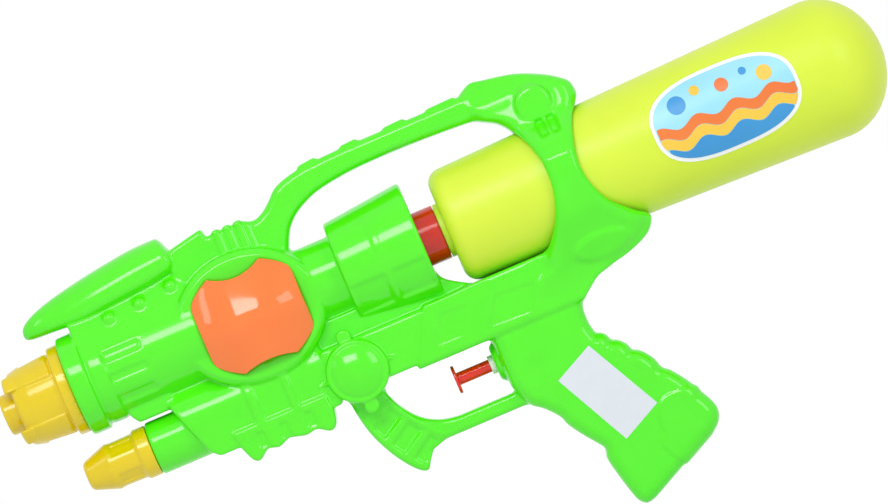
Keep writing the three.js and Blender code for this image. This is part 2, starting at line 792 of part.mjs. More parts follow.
// Hollow of the barrel: nozzle mouth, front chamber, passage through the drum and breech
function barrelHollow() {
  const pocketReach = domeHalfLength + fit + wall;
  const [chamberEnd, breechStart] = [domeX - pocketReach, domeX + pocketReach];
  const [slotFront, slotRear] = [spigotFlangeFront - fit, spigotFlangeRear + fit];
  const [bore, slot] = [spigotRadius + fit, spigotFlangeRadius + fit];
  return revolve('x', 0, 0, [
    [barrelFront - 1, 0], [barrelFront - 1, bore], [slotFront, bore], [slotFront, slot], [slotRear, slot],
    [slotRear, bore], [deliveryStop, bore], [deliveryStop, barrelRadius - wall],
    [chamberEnd, barrelRadius - wall], [chamberEnd, passageRadius], [breechStart, passageRadius],
    [breechStart, breechRadius - wall], [cupFront + 4, breechRadius - wall], [cupFront + 4, 0],
  ], middleFacets);
}

// Hollow of the cup: hose chamber, hub rib, flange slot and the mouth for the socket
function cupHollow() {
  return revolve('x', 0, 0, [
    [cupFront + wall, 0], [cupFront + wall, cupFrontRadius - wall],
    [socketRibFront, cupRearRadius - 1.6 * wall], [socketRibFront, socketHubRadius + fit],
    [socketRibRear, socketHubRadius + fit],
    [socketRibRear, socketFlangeRadius + fit], [cupInside, socketFlangeRadius + fit],
    [cupInside, socketRadius + fit], [cupRear + 2, socketRadius + fit], [cupRear + 2, 0],
  ], largeFacets);
}

// Hollow of the lower barrel for its nozzle
function lowerHollow() {
  const slotFront = lowerFront + lowerFlangeLead - fit;
  const slotRear = lowerFront + lowerFlangeLead + lowerFlangeWidth + fit;
  const bottom = lowerFront + lowerSpigotLength + fit;
  const [bore, slot] = [lowerSpigotRadius + fit, lowerFlangeRadius + fit];
  return revolve('x', 0, lowerZ, [
    [lowerFront - 1, 0], [lowerFront - 1, bore], [slotFront, bore], [slotFront, slot], [slotRear, slot],
    [slotRear, bore], [bottom, bore], [bottom, 0],
  ], middleFacets);
}

// Room for the pump: mouth, collar groove and barrel
function pumpRoom() {
  const [slotFront, slotRear] = [pumpFront - fit, pumpFront + pumpCollarWidth + fit];
  const [mouth, slot, bore] = [glandRadius + fit, pumpCollarRadius + fit, pumpRadius + fit];
  return revolve('x', 0, pumpZ, [
    [pumpBossFront - 1, 0], [pumpBossFront - 1, mouth], [slotFront, mouth], [slotFront, slot], [slotRear, slot],
    [slotRear, bore], [pumpRear + fit, bore], [pumpRear + fit, 0],
  ], middleFacets);
}

// Space that the tank sweeps through the strap
function tankRoom() {
  const from = shoulder - fit;
  const to = tankRear;
  return revolve('x', 0, 0, [
    [from, 0], [from, tankRadiusAt(from) + tankPlay], [to, tankRadiusAt(to) + tankPlay], [to, 0],
  ], largeFacets);
}

// Outside of the whole casing, before it is hollowed and split
function casingOutside() {
  const lowerBarrel = rod('x', 0, lowerZ, lowerFront, -36, lowerRadius, middleFacets);
  const drumEdge = new THREE.EllipseCurve(0, drumZ, drumLength / 2, drumRadius).getPoints(drumFacets);
  const drum = slab(drumEdge.slice(1), drumHalf, drumBevel);
  const web = slab(straight([[webFront, 5], [webFront, 26], [bladeRear, 32], [bladeRear, 5]]), webHalf);
  const flareSide = straight([[-64.4, -15], [-64, -21], [-61.4, -flareDepth], [-44, -flareDepth], [-44, -15]]);
  const flare = slab(flareSide, flareHalf);
  const stud = webHalf + rivetHeight;
  const studs = rivets.map(([x, z]) => rod('y', x, z, -stud, stud, rivetRadius));
  const belts = bands.map(([x0, x1]) => drawn(
    shoulderSection(-bandProud, combTop - 2, forearmTop, 0.5), x0, x1));
  const neck = block(forearmBreak - 2, forearmRear, -neckHalf, neckHalf, forearmLedge - wall, forearmTop);
  const grip = slab(gripOutline(false), gripHalf, gripRound).intersect(slab(gripOutline(true), gripHalf + 1));
  const pumpBoss = revolve('x', 0, pumpZ, [
    [pumpBossFront, 0], [pumpBossFront, pumpBossRadius - 1.6], [pumpBossFront + 1.6, pumpBossRadius],
    [gripFront + wall, pumpBossRadius], [gripFront + wall, 0],
  ], middleFacets);
  const pod = toSolid(new THREE.SphereGeometry(1, 14, 6)
    .scale(podLength / 2, podHalf, podHeight / 2).translate(podX, 0, podZ));
  const hoodBoss = rod('y', hoodBossX, hoodBossZ, -hoodBossHalf, hoodBossHalf, hoodBossRadius, middleFacets);
  return join([
    barrel(), lowerBarrel, drum, web, flare, blade(), spine(), handle(), dressedCup(), forearm(0), neck,
    ...belts, comb(), receiver(0), saddleWeb(), roundBoss(), guard(), grip, pumpBoss, strap(), pod,
    hoodBoss, ...studs,
  ]);
}

// Shallow slots along the barrel's flanks
function barrelSlots() {
  const from = barrelFront + flangeLength + grooveWidth + ringLength;
  const tool = (z) => block(from, from + slotLength, -40, 40, z - slotWidth / 2, z + slotWidth / 2);
  const core = rod('x', 0, 0, from - 1, from + slotLength + 1, barrelRadius - slotDepth, largeFacets);
  return join(slotHeights.map(tool)).subtract(core);
}

// Everything that is hollow in the closed casing
function casingHollow() {
  const drumInside = drumHalf - pocketDepth - wall;
  const drumRoom = rod('y', 0, drumZ, -drumInside, drumInside, drumRadius - wall, hollowFacets);
  const gripRoom = slab(offsetOutline(gripOutline(false), wall + backWaveDepth), gripHalf - wall);
  const inside = gripHalf - wall;
  const throat = block(gripFront + wall, gripBack - wall, -inside, inside, -60, receiverBottom + wall + 1);
  const hoseTunnel = block(54, 76, -10, 10, -41, -30);
  const hoseGate = block(cupFront + wall + 0.6, cupFront + 15, -7, 7, -40, -14);
  const drumGate = block(4, 24, -8, 8, -34, -18);
  const neckGate = block(23, 42, -7, 7, -34, -20);
  const rooms = join([
    drumRoom, forearm(wall), receiver(wall), gripRoom, throat, hoseGate, hoseTunnel, drumGate,
    neckGate,
  ]);
  const cradle = (x) => block(x, x + wall, -gripHalf, gripHalf, pumpZ - 12, pumpZ + 9);
  const shelf = (z) => block(valveX - 7.6, gripBack, -gripHalf, gripHalf, z, z + wall);
  const ribs = join([
    cradle(pumpFront + 6), cradle(pumpRear - 5), shelf(valveBottom + 2), shelf(valveTop - wall - 0.6),
  ]);
  const pillars = join(screwPlaces.map(([x, z]) => rod('y', x, z, -60, 60, pillarRadius, 8)));
  const valveRoom = rod('z', valveX, 0, valveBottom - fit, valveTop + fit, valveRadius + fit, middleFacets);
  const hoseRoom = hoseRadius + fit;
  const hoseWay = block(valveX - 14, valveX + hoseRoom, -hoseRoom, hoseRoom, valveTop, -45);
  return join([
    rooms.subtract(ribs).subtract(pillars), barrelHollow().subtract(pillars), cupHollow(), lowerHollow(),
    pumpRoom(), valveRoom, hoseWay,
  ]);
}

// Pockets and peg holes for the two domed inserts
function domeSeats() {
  const pocket = offsetOutline(domeOutline(), -fit).map((p) => at(p.x + domeX, p.y + drumZ));
  const floor = drumHalf - pocketDepth;
  const core = block(-40, 40, -floor, floor, -60, 40);
  const holes = [domeX - pegSpread, domeX + pegSpread].map((x) => (
    rod('y', x, drumZ, -drumHalf, drumHalf, pegRadius + fit, 8)));
  return slab(pocket, drumHalf + 4).subtract(core).add(join(holes));
}

// Domed insert of the right side: shell with two pegs
function domeInsert() {
  const floor = drumHalf - pocketDepth + fit;
  const rim = drumHalf + domeRim;
  const outline = domeOutline();
  const inner = offsetOutline(outline, domeWall);
  const hollow = crown(inner, floor - 1, rim - domeWall * 0.4, domeRise - domeWall * 0.6);
  const shell = crown(outline, floor, rim, domeRise);
  const peg = (x, from, to) => rod('y', x, drumZ, from, to, pegRadius, 8);
  const pegs = (from, to) => join([peg(domeX - pegSpread, from, to), peg(domeX + pegSpread, from, to)]);
  const stems = pegs(floor, rim + domeRise).intersect(shell);
  return shell.subtract(hollow).add(stems).add(pegs(floor - pegLength, floor + 1));
}

// Main nozzle with castellated front, spigot, flange and hose nipple
function mainNozzle() {
  const body = revolve('x', 0, 0, [
    [bossFront, 0], [bossFront, bossRadius - 1.4], [bossFront + 1.4, bossRadius], [nozzleFront, bossRadius],
    [nozzleFront, nozzleFrontRadius - 1.2], [nozzleFront + 1.2, nozzleFrontRadius],
    [collarFront, nozzleRearRadius], [collarFront + 0.6, collarRadius - 0.6], [collarFront + 1.2, collarRadius],
    [collarRear, collarRadius], [collarRear, 0],
  ], largeFacets);
  const spigot = revolve('x', 0, 0, [
    [collarFront, 0], [collarFront, spigotRadius], [spigotFlangeFront, spigotRadius],
    [spigotFlangeFront, spigotFlangeRadius], [spigotFlangeRear, spigotFlangeRadius],
    [spigotFlangeRear, spigotRadius], [spigotEnd, spigotRadius], [spigotEnd, 0],
  ], middleFacets);
  const nipple = rod('x', 0, 0, spigotEnd - 1, nozzleNippleEnd, nippleRadius, hoseSides);
  const castleFront = nozzleFront - castleLength;
  const castles = ring('x', 0, 0, [
    [castleFront, castleInner], [castleFront, nozzleFrontRadius - 1.8], [castleFront + 1.4, nozzleFrontRadius],
    [nozzleFront + 2, nozzleFrontRadius], [nozzleFront + 2, castleInner],
  ], largeFacets);
  const gap = castleGap / 2;
  const cross = join([
    block(castleFront - 1, nozzleFront, -40, 40, -gap, gap),
    block(castleFront - 1, nozzleFront, -gap, gap, -40, 40),
  ]);
  const [flat, deep] = [nozzleFlatWidth / 2, nozzleRearRadius - nozzleFlatDepth];
  const flatFront = collarFront - nozzleFlatLength;
  const flats = join([
    block(flatFront, collarFront, -40, 40, -flat, flat), block(flatFront, collarFront, -flat, flat, -40, 40),
  ]).subtract(rod('x', 0, 0, flatFront - 1, collarFront + 1, deep, largeFacets));
  const jetRear = bossFront + fit + jetLength + fit;
  const bore = revolve('x', 0, 0, [
    [bossFront - 1, 0], [bossFront - 1, jetRadius + fit], [jetRear, jetRadius + fit], [jetRear, waterBore],
    [spigotEnd - 2, waterBore], [spigotEnd - 2, nippleBore], [nozzleNippleEnd + 1, nippleBore],
    [nozzleNippleEnd + 1, 0],
  ], smallFacets);
  return join([body, spigot, nipple, castles.subtract(cross)]).subtract(flats).subtract(bore);
}

// Jet pressed into the nozzle's boss
function jetInsert() {
  const front = bossFront + fit;
  return ring('x', 0, 0, [
    [front, jetBore], [front, jetRadius - 0.6], [front + 0.6, jetRadius], [front + jetLength, jetRadius],
    [front + jetLength, jetBore],
  ], smallFacets);
}

// Lower nozzle: tapered tip, lip, panels, collar and spigot
function lowerNozzle() {
  const collarBack = lowerFront - fit;
  const collarStart = collarBack - lowerCollarLength;
  const lip = collarStart - lowerPanelLength;
  const tip = lip - lowerTipLength;
  const flangeFront = lowerFront + lowerFlangeLead;
  const body = revolve('x', 0, lowerZ, [
    [tip, 0], [tip, lowerTipRadius - 1.6], [tip + 1.6, lowerTipRadius], [lip, lowerLipRadius],
    [lip + 1.6, lowerPanelRadius], [collarStart - 2, lowerPanelRadius], [collarStart, lowerCollarRadius],
    [collarBack, lowerCollarRadius], [collarBack, lowerSpigotRadius], [flangeFront, lowerSpigotRadius],
    [flangeFront, lowerFlangeRadius], [flangeFront + lowerFlangeWidth, lowerFlangeRadius],
    [flangeFront + lowerFlangeWidth, lowerSpigotRadius], [lowerFront + lowerSpigotLength, lowerSpigotRadius],
    [lowerFront + lowerSpigotLength, 0],
  ], middleFacets);
  const ribs = join([
    block(lip + 1, collarStart, -40, 40, lowerZ + 4.6, lowerZ + 8),
    block(lip + 1, collarStart, -40, 40, lowerZ - 8, lowerZ - 4.6),
  ]).intersect(rod('x', 0, lowerZ, lip + 1, collarStart, lowerPanelRadius + 0.8, middleFacets));
  const mouth = rod('x', 0, lowerZ, tip - 1, tip + 6, lowerTipRadius - 3.2);
  return body.add(ribs).subtract(mouth);
}

// Tank: neck, shoulder, tapered body and domed end, hollow through the neck
function tank() {
  const end = (inset, steps) => {
    const points = [];
    for (let i = 0; i <= steps; i += 1) {
      const angle = (Math.PI / 2) * (i / steps);
      const radius = (tankRearRadius - inset) * Math.cos(angle);
      points.push([tankRear + (tankEndLength - inset) * Math.sin(angle), i === steps ? 0 : radius]);
    }
    return points;
  };
  const corner = (inset, steps) => {
    const [x, radius] = [shoulder + tankCorner, tankFrontRadius - tankCorner];
    return arc(x, radius, tankCorner - inset, 180, 90, steps).map((p) => [p.x, p.y]);
  };
  const neckInner = neckRadius - neckWall;
  const outside = [
    [neckEnd, neckRadius], [lipFront, neckRadius], [lipFront, lipRadius], [shoulder, lipRadius],
    ...corner(0, 3), ...end(0, 7),
  ];
  const inside = [
    ...end(tankWall, 5).reverse(), ...corner(tankWall, 2).reverse(), [shoulder + tankWall, neckInner],
    [neckEnd, neckInner], [neckEnd, neckRadius],
  ];
  return revolve('x', 0, 0, [...outside, ...inside.slice(1)], largeFacets);
}

// Socket that the tank screws into
function tankSocket() {
  const seat = socketBase - dipSeatDepth;
  return ring('x', 0, 0, [
    [socketNippleEnd, nippleBore], [socketNippleEnd, nippleRadius], [socketHubFront, nippleRadius],
    [socketHubFront, socketHubRadius], [socketFlangeFront, socketHubRadius],
    [socketFlangeFront, socketFlangeRadius], [socketFlangeRear, socketFlangeRadius],
    [socketFlangeRear, socketRadius], [socketEnd - 0.6, socketRadius],
    [socketEnd, socketRadius - 0.6], [socketEnd, neckRadius + fit], [socketBase, neckRadius + fit],
    [socketBase, dipRadius + fit], [seat, dipRadius + fit], [seat, nippleBore],
  ], middleFacets);
}

// Pump cylinder with collar, end wall and spigot
function pumpCylinder() {
  return ring('x', 0, pumpZ, [
    [pumpFront, pumpBore], [pumpFront, pumpCollarRadius], [pumpFront + pumpCollarWidth, pumpCollarRadius],
    [pumpFront + pumpCollarWidth, pumpRadius], [pumpRear, pumpRadius], [pumpRear, pumpSpigotRadius],
    [pumpRear + pumpSpigotLength, pumpSpigotRadius], [pumpRear + pumpSpigotLength, pumpSpigotBore],
    [pumpBoreEnd, pumpSpigotBore], [pumpBoreEnd, pumpBore],
  ], middleFacets);
}

// Push rod with finger plate; its tip carries the piston
function triggerPlunger() {
  const plate = fingerRear - fingerThickness;
  return revolve('x', 0, pumpZ, [
    [plate, 0], [plate, fingerRadius - 0.5], [plate + 0.5, fingerRadius], [fingerRear - 0.4, fingerRadius],
    [fingerRear, fingerRadius - 0.4], [fingerRear, rodRadius], [glandRear, rodRadius],
    [glandRear, rodTipRadius], [pistonRear - 2 * fit, rodTipRadius], [pistonRear - 2 * fit, 0],
  ], middleFacets);
}

// Piston with a groove for its seal
function piston() {
  const groove = pumpBore - fit - 2 * sealSection - fit;
  const middle = (pistonFront + pistonRear) / 2;
  const reach = sealSection + fit;
  const outer = pumpBore - fit - 0.1;
  return ring('x', 0, pumpZ, [
    [pistonFront, rodTipRadius + fit], [pistonFront, outer], [middle - reach, outer], [middle - reach, groove],
    [middle + reach, groove], [middle + reach, outer], [pistonRear, outer], [pistonRear, rodTipRadius + fit],
  ], middleFacets);
}

// Seal ring in the piston's groove
function pistonSeal() {
  const middle = (pistonFront + pistonRear) / 2;
  const centre = pumpBore - fit - sealSection;
  const corners = 6;
  const section = arc(middle, centre, sealSection, 0, 360, corners).slice(1).map((p) => [p.x, p.y]);
  return ring('x', 0, pumpZ, section, middleFacets);
}

// Return spring: a helix between the piston and the end of the bore
function returnSpring() {
  const from = pistonRear + fit + springWire;
  const to = pumpBoreEnd - fit - springWire;
  const stepsPerTurn = 8;
  const steps = springTurns * stepsPerTurn;
  const points = [];
  for (let i = 0; i <= steps; i += 1) {
    const angle = (2 * Math.PI * i) / stepsPerTurn;
    points.push(new THREE.Vector3(from + ((to - from) * i) / steps, springMean * Math.cos(angle),
      pumpZ + springMean * Math.sin(angle)));
  }
  let least = Infinity;
  points.forEach((p, i) => points.slice(i + stepsPerTurn).forEach((q) => {
    least = Math.min(least, p.distanceTo(q) - 2 * springWire);
  }));
  console.log(`return spring: least gap between turns ${least.toFixed(2)} mm`);
  return tubeAlong(points, springWire, 0, steps, 5);
}

// Tube along points: a round section with an open bore where one is given
function tubeAlong(points, radius, bore, steps, sides) {
  const curve = new THREE.CatmullRomCurve3(points);
  const circle = (size) => arc(0, 0, size, 0, 360 - 360 / sides, sides - 1);
  const section = new THREE.Shape(circle(radius));
  if (bore > 0) section.holes.push(new THREE.Path(circle(bore)));
  return toSolid(new THREE.ExtrudeGeometry(section, { steps, extrudePath: curve, bevelEnabled: false }));
}

// Valve block: two chambers over conical seats, a nipple at each end and a port for the pump
function valveBlock() {
  const inletCone = inletSeat + chamberRadius - nippleBore;
  const outletCone = outletSeat + chamberRadius - seatBore;
  const body = ring('z', valveX, 0, [
    [valveBottom - nippleLength, nippleBore], [valveBottom - nippleLength, nippleRadius],
    [valveBottom, nippleRadius], [valveBottom, valveRadius], [valveTop, valveRadius], [valveTop, nippleRadius],
    [valveTop + nippleLength, nippleRadius], [valveTop + nippleLength, nippleBore], [outletCrown, nippleBore],
    [outletCrown, chamberRadius], [outletCone, chamberRadius], [outletSeat, seatBore], [inletCrown, seatBore],
    [inletCrown, chamberRadius], [inletCone, chamberRadius], [inletSeat, nippleBore],
  ], smallFacets);
  const portEnd = pumpRear + pumpSpigotLength + fit;
  const port = revolve('x', 0, pumpZ, [
    [pumpRear, 0], [pumpRear, pumpSpigotRadius + fit], [portEnd, pumpSpigotRadius + fit],
    [portEnd, pumpSpigotBore], [valveX, pumpSpigotBore], [valveX, 0],
  ], smallFacets);
  return body.subtract(port);
}

// Ball resting on a conical seat
function valveBall(seat, bore) {
  const centre = seat - bore + (ballRadius + ballGap) * Math.SQRT2;
  return toSolid(new THREE.SphereGeometry(ballRadius, 12, 6).translate(valveX, 0, centre));
}

// Hose from the socket's nipple, down through the receiver and beside the pump to the inlet
const suctionRoute = [
  [socketHubFront - fit, 0, 0], [socketNippleEnd - 1, 0, 0], [53.4, 0, -3], [50.4, 0, -10], [50.4, 0.4, -18],
  [51.6, 1.6, -27], [57, 3, -34], [66, 4, -36.4], [80, 5, -36.8], [91, 6, -38], [98.6, 7.6, -43],
  [101.8, 8.6, -52], [102.6, 9, -62], [103, 9, -72], [105, 8.6, -80.4], [109.8, 6.6, -86.4],
  [115.4, 3.4, -88.6], [120.6, 1, -85.4],
  [valveX, 0, valveBottom - nippleLength - 1], [valveX, 0, valveBottom - fit],
];

// Hose from the outlet, forward through the receiver and the drum to the main nozzle
const deliveryRoute = [
  [valveX, 0, valveTop + fit], [valveX, 0, valveTop + nippleLength + hoseLead], [119.2, -1.4, -36.9],
  [112.6, -3.2, -36],
  [102, -4.6, -35.4], [86, -5, -35.4], [68, -5, -35.4], [50, -5, -35], [37, -5, -32.6], [27, -4, -27.4],
  [17, -3, -19.6], [6, -2, -11.4], [-8, -1, -4.8], [-24, 0, -1], [-40, 0, 0], [nozzleNippleEnd + 2, 0, 0],
  [deliveryStop, 0, 0],
];

// Pick-up tube from the socket to the low side of the tank
const dipRoute = [
  [socketBase - dipSeatDepth + fit, 0, 0], [shoulder, 0, 0], [130, 0, -1.4], [180, 0, -8], [226, 0, -17],
  [258, 0, -23.4],
];

const hose = (route, radius, bore, steps) => (
  tubeAlong(route.map(([x, y, z]) => new THREE.Vector3(x, y, z)), radius, bore, steps, hoseSides));

// Casing screw about the origin, its head towards +y
function casingScrew() {
  const seat = screwSeat + fit;
  return revolve('y', 0, 0, [
    [fit - screwDepth, 0], [2 - screwDepth, screwShankRadius], [seat, screwShankRadius],
    [seat, screwHeadRadius], [seat + screwHeadHeight / 2, screwHeadRadius],
    [seat + screwHeadHeight, 0.6 * screwHeadRadius],
    [seat + screwHeadHeight, 0],
  ], 8);
}

// Screw holes: stepped from the right, blind on the left
function screwHoles(side) {
  return join(screwPlaces.map(([x, z]) => (side > 0
    ? revolve('y', x, z, [
      [-1, 0], [-1, screwShankRadius + fit], [screwSeat, screwShankRadius + fit],
      [screwSeat, screwHeadRadius + fit], [60, screwHeadRadius + fit], [60, 0],
    ], 8)
    : rod('y', x, z, -screwDepth, 1, screwShankRadius + fit, 8))));
}

// Casing halves: one hollow body, parted on the middle plane
const cuts = [tankRoom(), barrelSlots(), casingHollow(), domeSeats()];
const casing = cuts.reduce((solid, cut) => solid.subtract(cut), casingOutside());
const parting = partingGap / 2;
const reach = tankRear + tankEndLength;
const leftSide = block(-reach, reach, -reach, -parting, -reach, reach);
const rightSide = block(-reach, reach, parting, reach, -reach, reach);
const leftHalf = casing.intersect(leftSide).subtract(screwHoles(-1));
const rightHalf = casing.intersect(rightSide).subtract(screwHoles(1));

// Materials, one finish each
const finish = (color, roughness) => () => new THREE.MeshStandardMaterial({ color, roughness, metalness: 0 });
const greenPlastic = finish(0x5df233, 0.22);
const orangePlastic = finish(0xff7a33, 0.18);
const yellowPlastic = finish(0xe6cc22, 0.25);
const redPlastic = finish(0xd8341c, 0.22);
const tankPlastic = finish(0xd4ec48, 0.45);
const whitePlastic = finish(0xeef0ea, 0.35);
const rubber = finish(0x2c2c2c, 0.7);
const clearHose = finish(0xdfe6e2, 0.4);
const steel = () => new THREE.MeshStandardMaterial({ color: 0xb9bcc0, roughness: 0.35, metalness: 1 });

const squirter = new THREE.Group();
squirter.position.set(-palmX, 0, -palmZ);

// Adds one named piece to the squirter
function addPiece(name, solid, material) {
  const mesh = new THREE.Mesh(toGeometry(solid), material());
  mesh.name = name;
  squirter.add(mesh);
  return mesh;
}

addPiece('left_casing', leftHalf, greenPlastic);
addPiece('right_casing', rightHalf, greenPlastic);
addPiece('right_dome', domeInsert(), orangePlastic);
addPiece('left_dome', domeInsert(), orangePlastic).scale.y = -1;
addPiece('main_nozzle', mainNozzle(), yellowPlastic);
addPiece('jet_insert', jetInsert(), whitePlastic);
addPiece('lower_nozzle', lowerNozzle(), yellowPlastic);
addPiece('tank_socket', tankSocket(), redPlastic);
addPiece('tank_washer', ring('x', 0, 0, [
  [washerFront, washerHole], [washerFront, neckRadius], [washerFront + washerWidth, neckRadius],
  [washerFront + washerWidth, washerHole],
], middleFacets), rubber);
addPiece('tank', tank(), tankPlastic);
addPiece('dip_tube', hose(dipRoute, dipRadius, dipBore, dipSteps), clearHose);
addPiece('trigger_plunger', triggerPlunger(), redPlastic);
addPiece('piston', piston(), whitePlastic);
addPiece('piston_seal', pistonSeal(), rubber);
addPiece('return_spring', returnSpring(), steel);
addPiece('pump_cylinder', pumpCylinder(), whitePlastic);
addPiece('pump_gland', ring('x', 0, pumpZ, [
  [pumpFront - glandReach, rodRadius + fit], [pumpFront - glandReach, glandRadius], [glandRear, glandRadius],
  [glandRear, rodRadius + fit],
], middleFacets), whitePlastic);
addPiece('valve_block', valveBlock(), whitePlastic);
addPiece('inlet_ball', valveBall(inletSeat, nippleBore), steel);
addPiece('outlet_ball', valveBall(outletSeat, seatBore), steel);
addPiece('suction_hose', hose(suctionRoute, hoseRadius, hoseBore, hoseSteps), clearHose);
addPiece('delivery_hose', hose(deliveryRoute, hoseRadius, hoseBore, hoseSteps), clearHose);
screwPlaces.forEach(([x, z], i) => {
  addPiece(`casing_screw_${i + 1}`, casingScrew(), steel).position.set(x, 0, z);
});

export default squirter;
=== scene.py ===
"""Water squirter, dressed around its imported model.

The scene is in metres. Sizes are in millimetres and laid out from the barrel axis: x to the rear, z above the
axis and y across, with the left side at -y. The palm of the grip is the model's origin.
"""

import logging
import math
from dataclasses import dataclass
from enum import Enum
from typing import Callable, Sequence

import bpy
import numpy as np
import openvdb
from mathutils import Matrix, Vector
from mathutils.geometry import delaunay_2d_cdt


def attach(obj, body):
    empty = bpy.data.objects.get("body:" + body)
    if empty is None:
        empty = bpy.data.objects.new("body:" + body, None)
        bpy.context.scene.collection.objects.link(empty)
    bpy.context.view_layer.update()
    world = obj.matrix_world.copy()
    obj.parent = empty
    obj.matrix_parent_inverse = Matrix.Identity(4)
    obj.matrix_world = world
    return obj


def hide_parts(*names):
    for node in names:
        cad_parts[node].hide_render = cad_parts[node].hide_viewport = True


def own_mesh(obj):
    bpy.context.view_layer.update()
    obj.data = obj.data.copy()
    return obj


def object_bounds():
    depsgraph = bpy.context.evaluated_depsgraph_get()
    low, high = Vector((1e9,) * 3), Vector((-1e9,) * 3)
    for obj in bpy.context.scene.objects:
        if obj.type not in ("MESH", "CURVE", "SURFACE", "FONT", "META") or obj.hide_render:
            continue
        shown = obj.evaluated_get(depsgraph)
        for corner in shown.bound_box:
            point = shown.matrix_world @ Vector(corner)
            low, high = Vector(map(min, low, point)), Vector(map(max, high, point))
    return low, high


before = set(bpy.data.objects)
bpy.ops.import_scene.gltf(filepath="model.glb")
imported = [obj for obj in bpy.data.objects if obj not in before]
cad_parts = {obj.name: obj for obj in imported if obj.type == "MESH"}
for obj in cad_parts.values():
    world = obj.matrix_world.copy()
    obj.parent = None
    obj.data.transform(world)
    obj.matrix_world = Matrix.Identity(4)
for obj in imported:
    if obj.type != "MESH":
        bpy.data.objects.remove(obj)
CAD_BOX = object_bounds()

LOG = logging.getLogger("squirter")
MM = 0.001
# Palm of the grip in the layout, which is the model's origin.
PALM = np.array((128.0, 0.0, -96.0))
# Distance in millimetres that an empty field starts with.
FAR = 9.0
# Angles above which an edge stays sharp, on new pieces and on the model's own nodes.
CREASE = math.radians(40)
NODE_CREASE = math.radians(50)

Pair = tuple[float, float]
Line = tuple[Pair, ...]
Triple = tuple[float, float, float]
Distance = Callable[[np.ndarray, np.ndarray, np.ndarray], np.ndarray]


def to_linear(code: str) -> tuple[float, float, float, float]:
    """Turn an sRGB hex colour into linear values.

    Args:
        code: Six hex digits after a hash sign.

    Returns:
        Linear red, green, blue and an alpha of one.
    """
    shares = [int(code[i:i + 2], 16) / 255 for i in (1, 3, 5)]
    red, green, blue = [s / 12.92 if s <= 0.04045 else ((s + 0.055) / 1.055) ** 2.4 for s in shares]
    return red, green, blue, 1.0


def add_node(tree: bpy.types.NodeTree, kind: str, settings: dict, links: dict) -> bpy.types.Node:
    """Add a shader node with its settings and incoming links.

    Args:
        tree: Node tree of the material or world.
        kind: Type name of the node.
        settings: Values by input name or number, or by attribute where no input has that name.
        links: Source node and its output by input, each output and input as a name or number.

    Returns:
        The new node.
    """
    node = tree.nodes.new(kind)
    for key, value in settings.items():
        if isinstance(key, int) or key in node.inputs:
            node.inputs[key].default_value = value
        else:
            setattr(node, key, value)
    for key, (source, output) in links.items():
        tree.links.new(source.outputs[output], node.inputs[key])
    return node


def empty_tree(owner: bpy.types.Material | bpy.types.World) -> bpy.types.NodeTree:
    """Give a material or world a node tree without nodes.

    Args:
        owner: The material or world.

    Returns:
        Its node tree.
    """
    owner.use_nodes = True
    owner.node_tree.nodes.clear()
    return owner.node_tree


def add_object(name: str, data: bpy.types.ID) -> bpy.types.Object:
    """Put a mesh, lamp or camera into the scene.

    Args:
        name: Name of the object.
        data: What it shows.

    Returns:
        The new object.
    """
    made = bpy.data.objects.new(name, data)
    bpy.context.scene.collection.objects.link(made)
    return made


def through(points: Sequence[Pair], per_span: int = 6) -> list[Pair]:
    """Run a smooth curve through points.

    Args:
        points: Places that the curve passes.
        per_span: Steps between two places.

    Returns:
        Points on the curve, both ends included.
    """
    knots = np.array([points[0], *points, points[-1]], dtype=float)
    share = np.arange(per_span) / per_span
    curve = []
    for a, b, c, d in zip(knots, knots[1:], knots[2:], knots[3:]):
        for t in share:
            curve.append(tuple(0.5 * (2 * b + (c - a) * t + (2 * a - 5 * b + 4 * c - d) * t * t
                                      + (3 * b - a - 3 * c + d) * t ** 3)))
    return [*curve, tuple(knots[-1])]


def eased(keys: Sequence[float], values: Sequence[float], places: np.ndarray) -> np.ndarray:
    """Interpolate smoothly between key values, without running past them.

    Args:
        keys: Rising places of the key values.
        values: Key values.
        places: Where the values are wanted.

    Returns:
        Values at the wanted places, held constant past both ends.
    """
    k, v = np.asarray(keys, dtype=float), np.asarray(values, dtype=float)
    slope = np.diff(v) / np.diff(k)
    product = slope[:-1] * slope[1:]
    mean = np.where(product > 0, 2 * product / np.where(product > 0, slope[:-1] + slope[1:], 1), 0)
    tangent = np.concatenate(([slope[0]], mean, [slope[-1]]))
    inside = np.clip(places, k[0], k[-1])
    i = np.clip(np.searchsorted(k, inside) - 1, 0, len(k) - 2)
    width = k[i + 1] - k[i]
    t = (inside - k[i]) / width
    rise = (1 - t) ** 2 * ((1 + 2 * t) * v[i] + t * width * tangent[i])
    return rise + t * t * ((3 - 2 * t) * v[i + 1] - (1 - t) * width * tangent[i + 1])


def arc(centre: Pair, radius: float, start: float, end: float, steps: int = 8) -> list[Pair]:
    """Points on a circle's arc.

    Args:
        centre: Centre of the circle.
        radius: Its radius.
        start: First angle in degrees.
        end: Last angle in degrees.
        steps: Number of steps.

    Returns:
        Points from the first to the last angle.
    """
    angles = np.radians(np.linspace(start, end, steps + 1))
    return [(centre[0] + radius * math.cos(a), centre[1] + radius * math.sin(a)) for a in angles]


def box_outline(x0: float, x1: float, z0: float, z1: float) -> list[Pair]:
    """Corners of an upright rectangle."""
    return [(x0, z0), (x1, z0), (x1, z1), (x0, z1)]


def oval(centre: Pair, radii: Pair, steps: int) -> list[Pair]:
    """Points on an ellipse."""
    turns = np.linspace(0, 2 * math.pi, steps, endpoint=False)
    return [(centre[0] + radii[0] * math.cos(a), centre[1] + radii[1] * math.sin(a)) for a in turns]


def mirror(half: Sequence[Pair]) -> list[Pair]:
    """Whole outline from the half on its right side."""
    return [*half, *[(-across, other) for across, other in reversed(half)]]


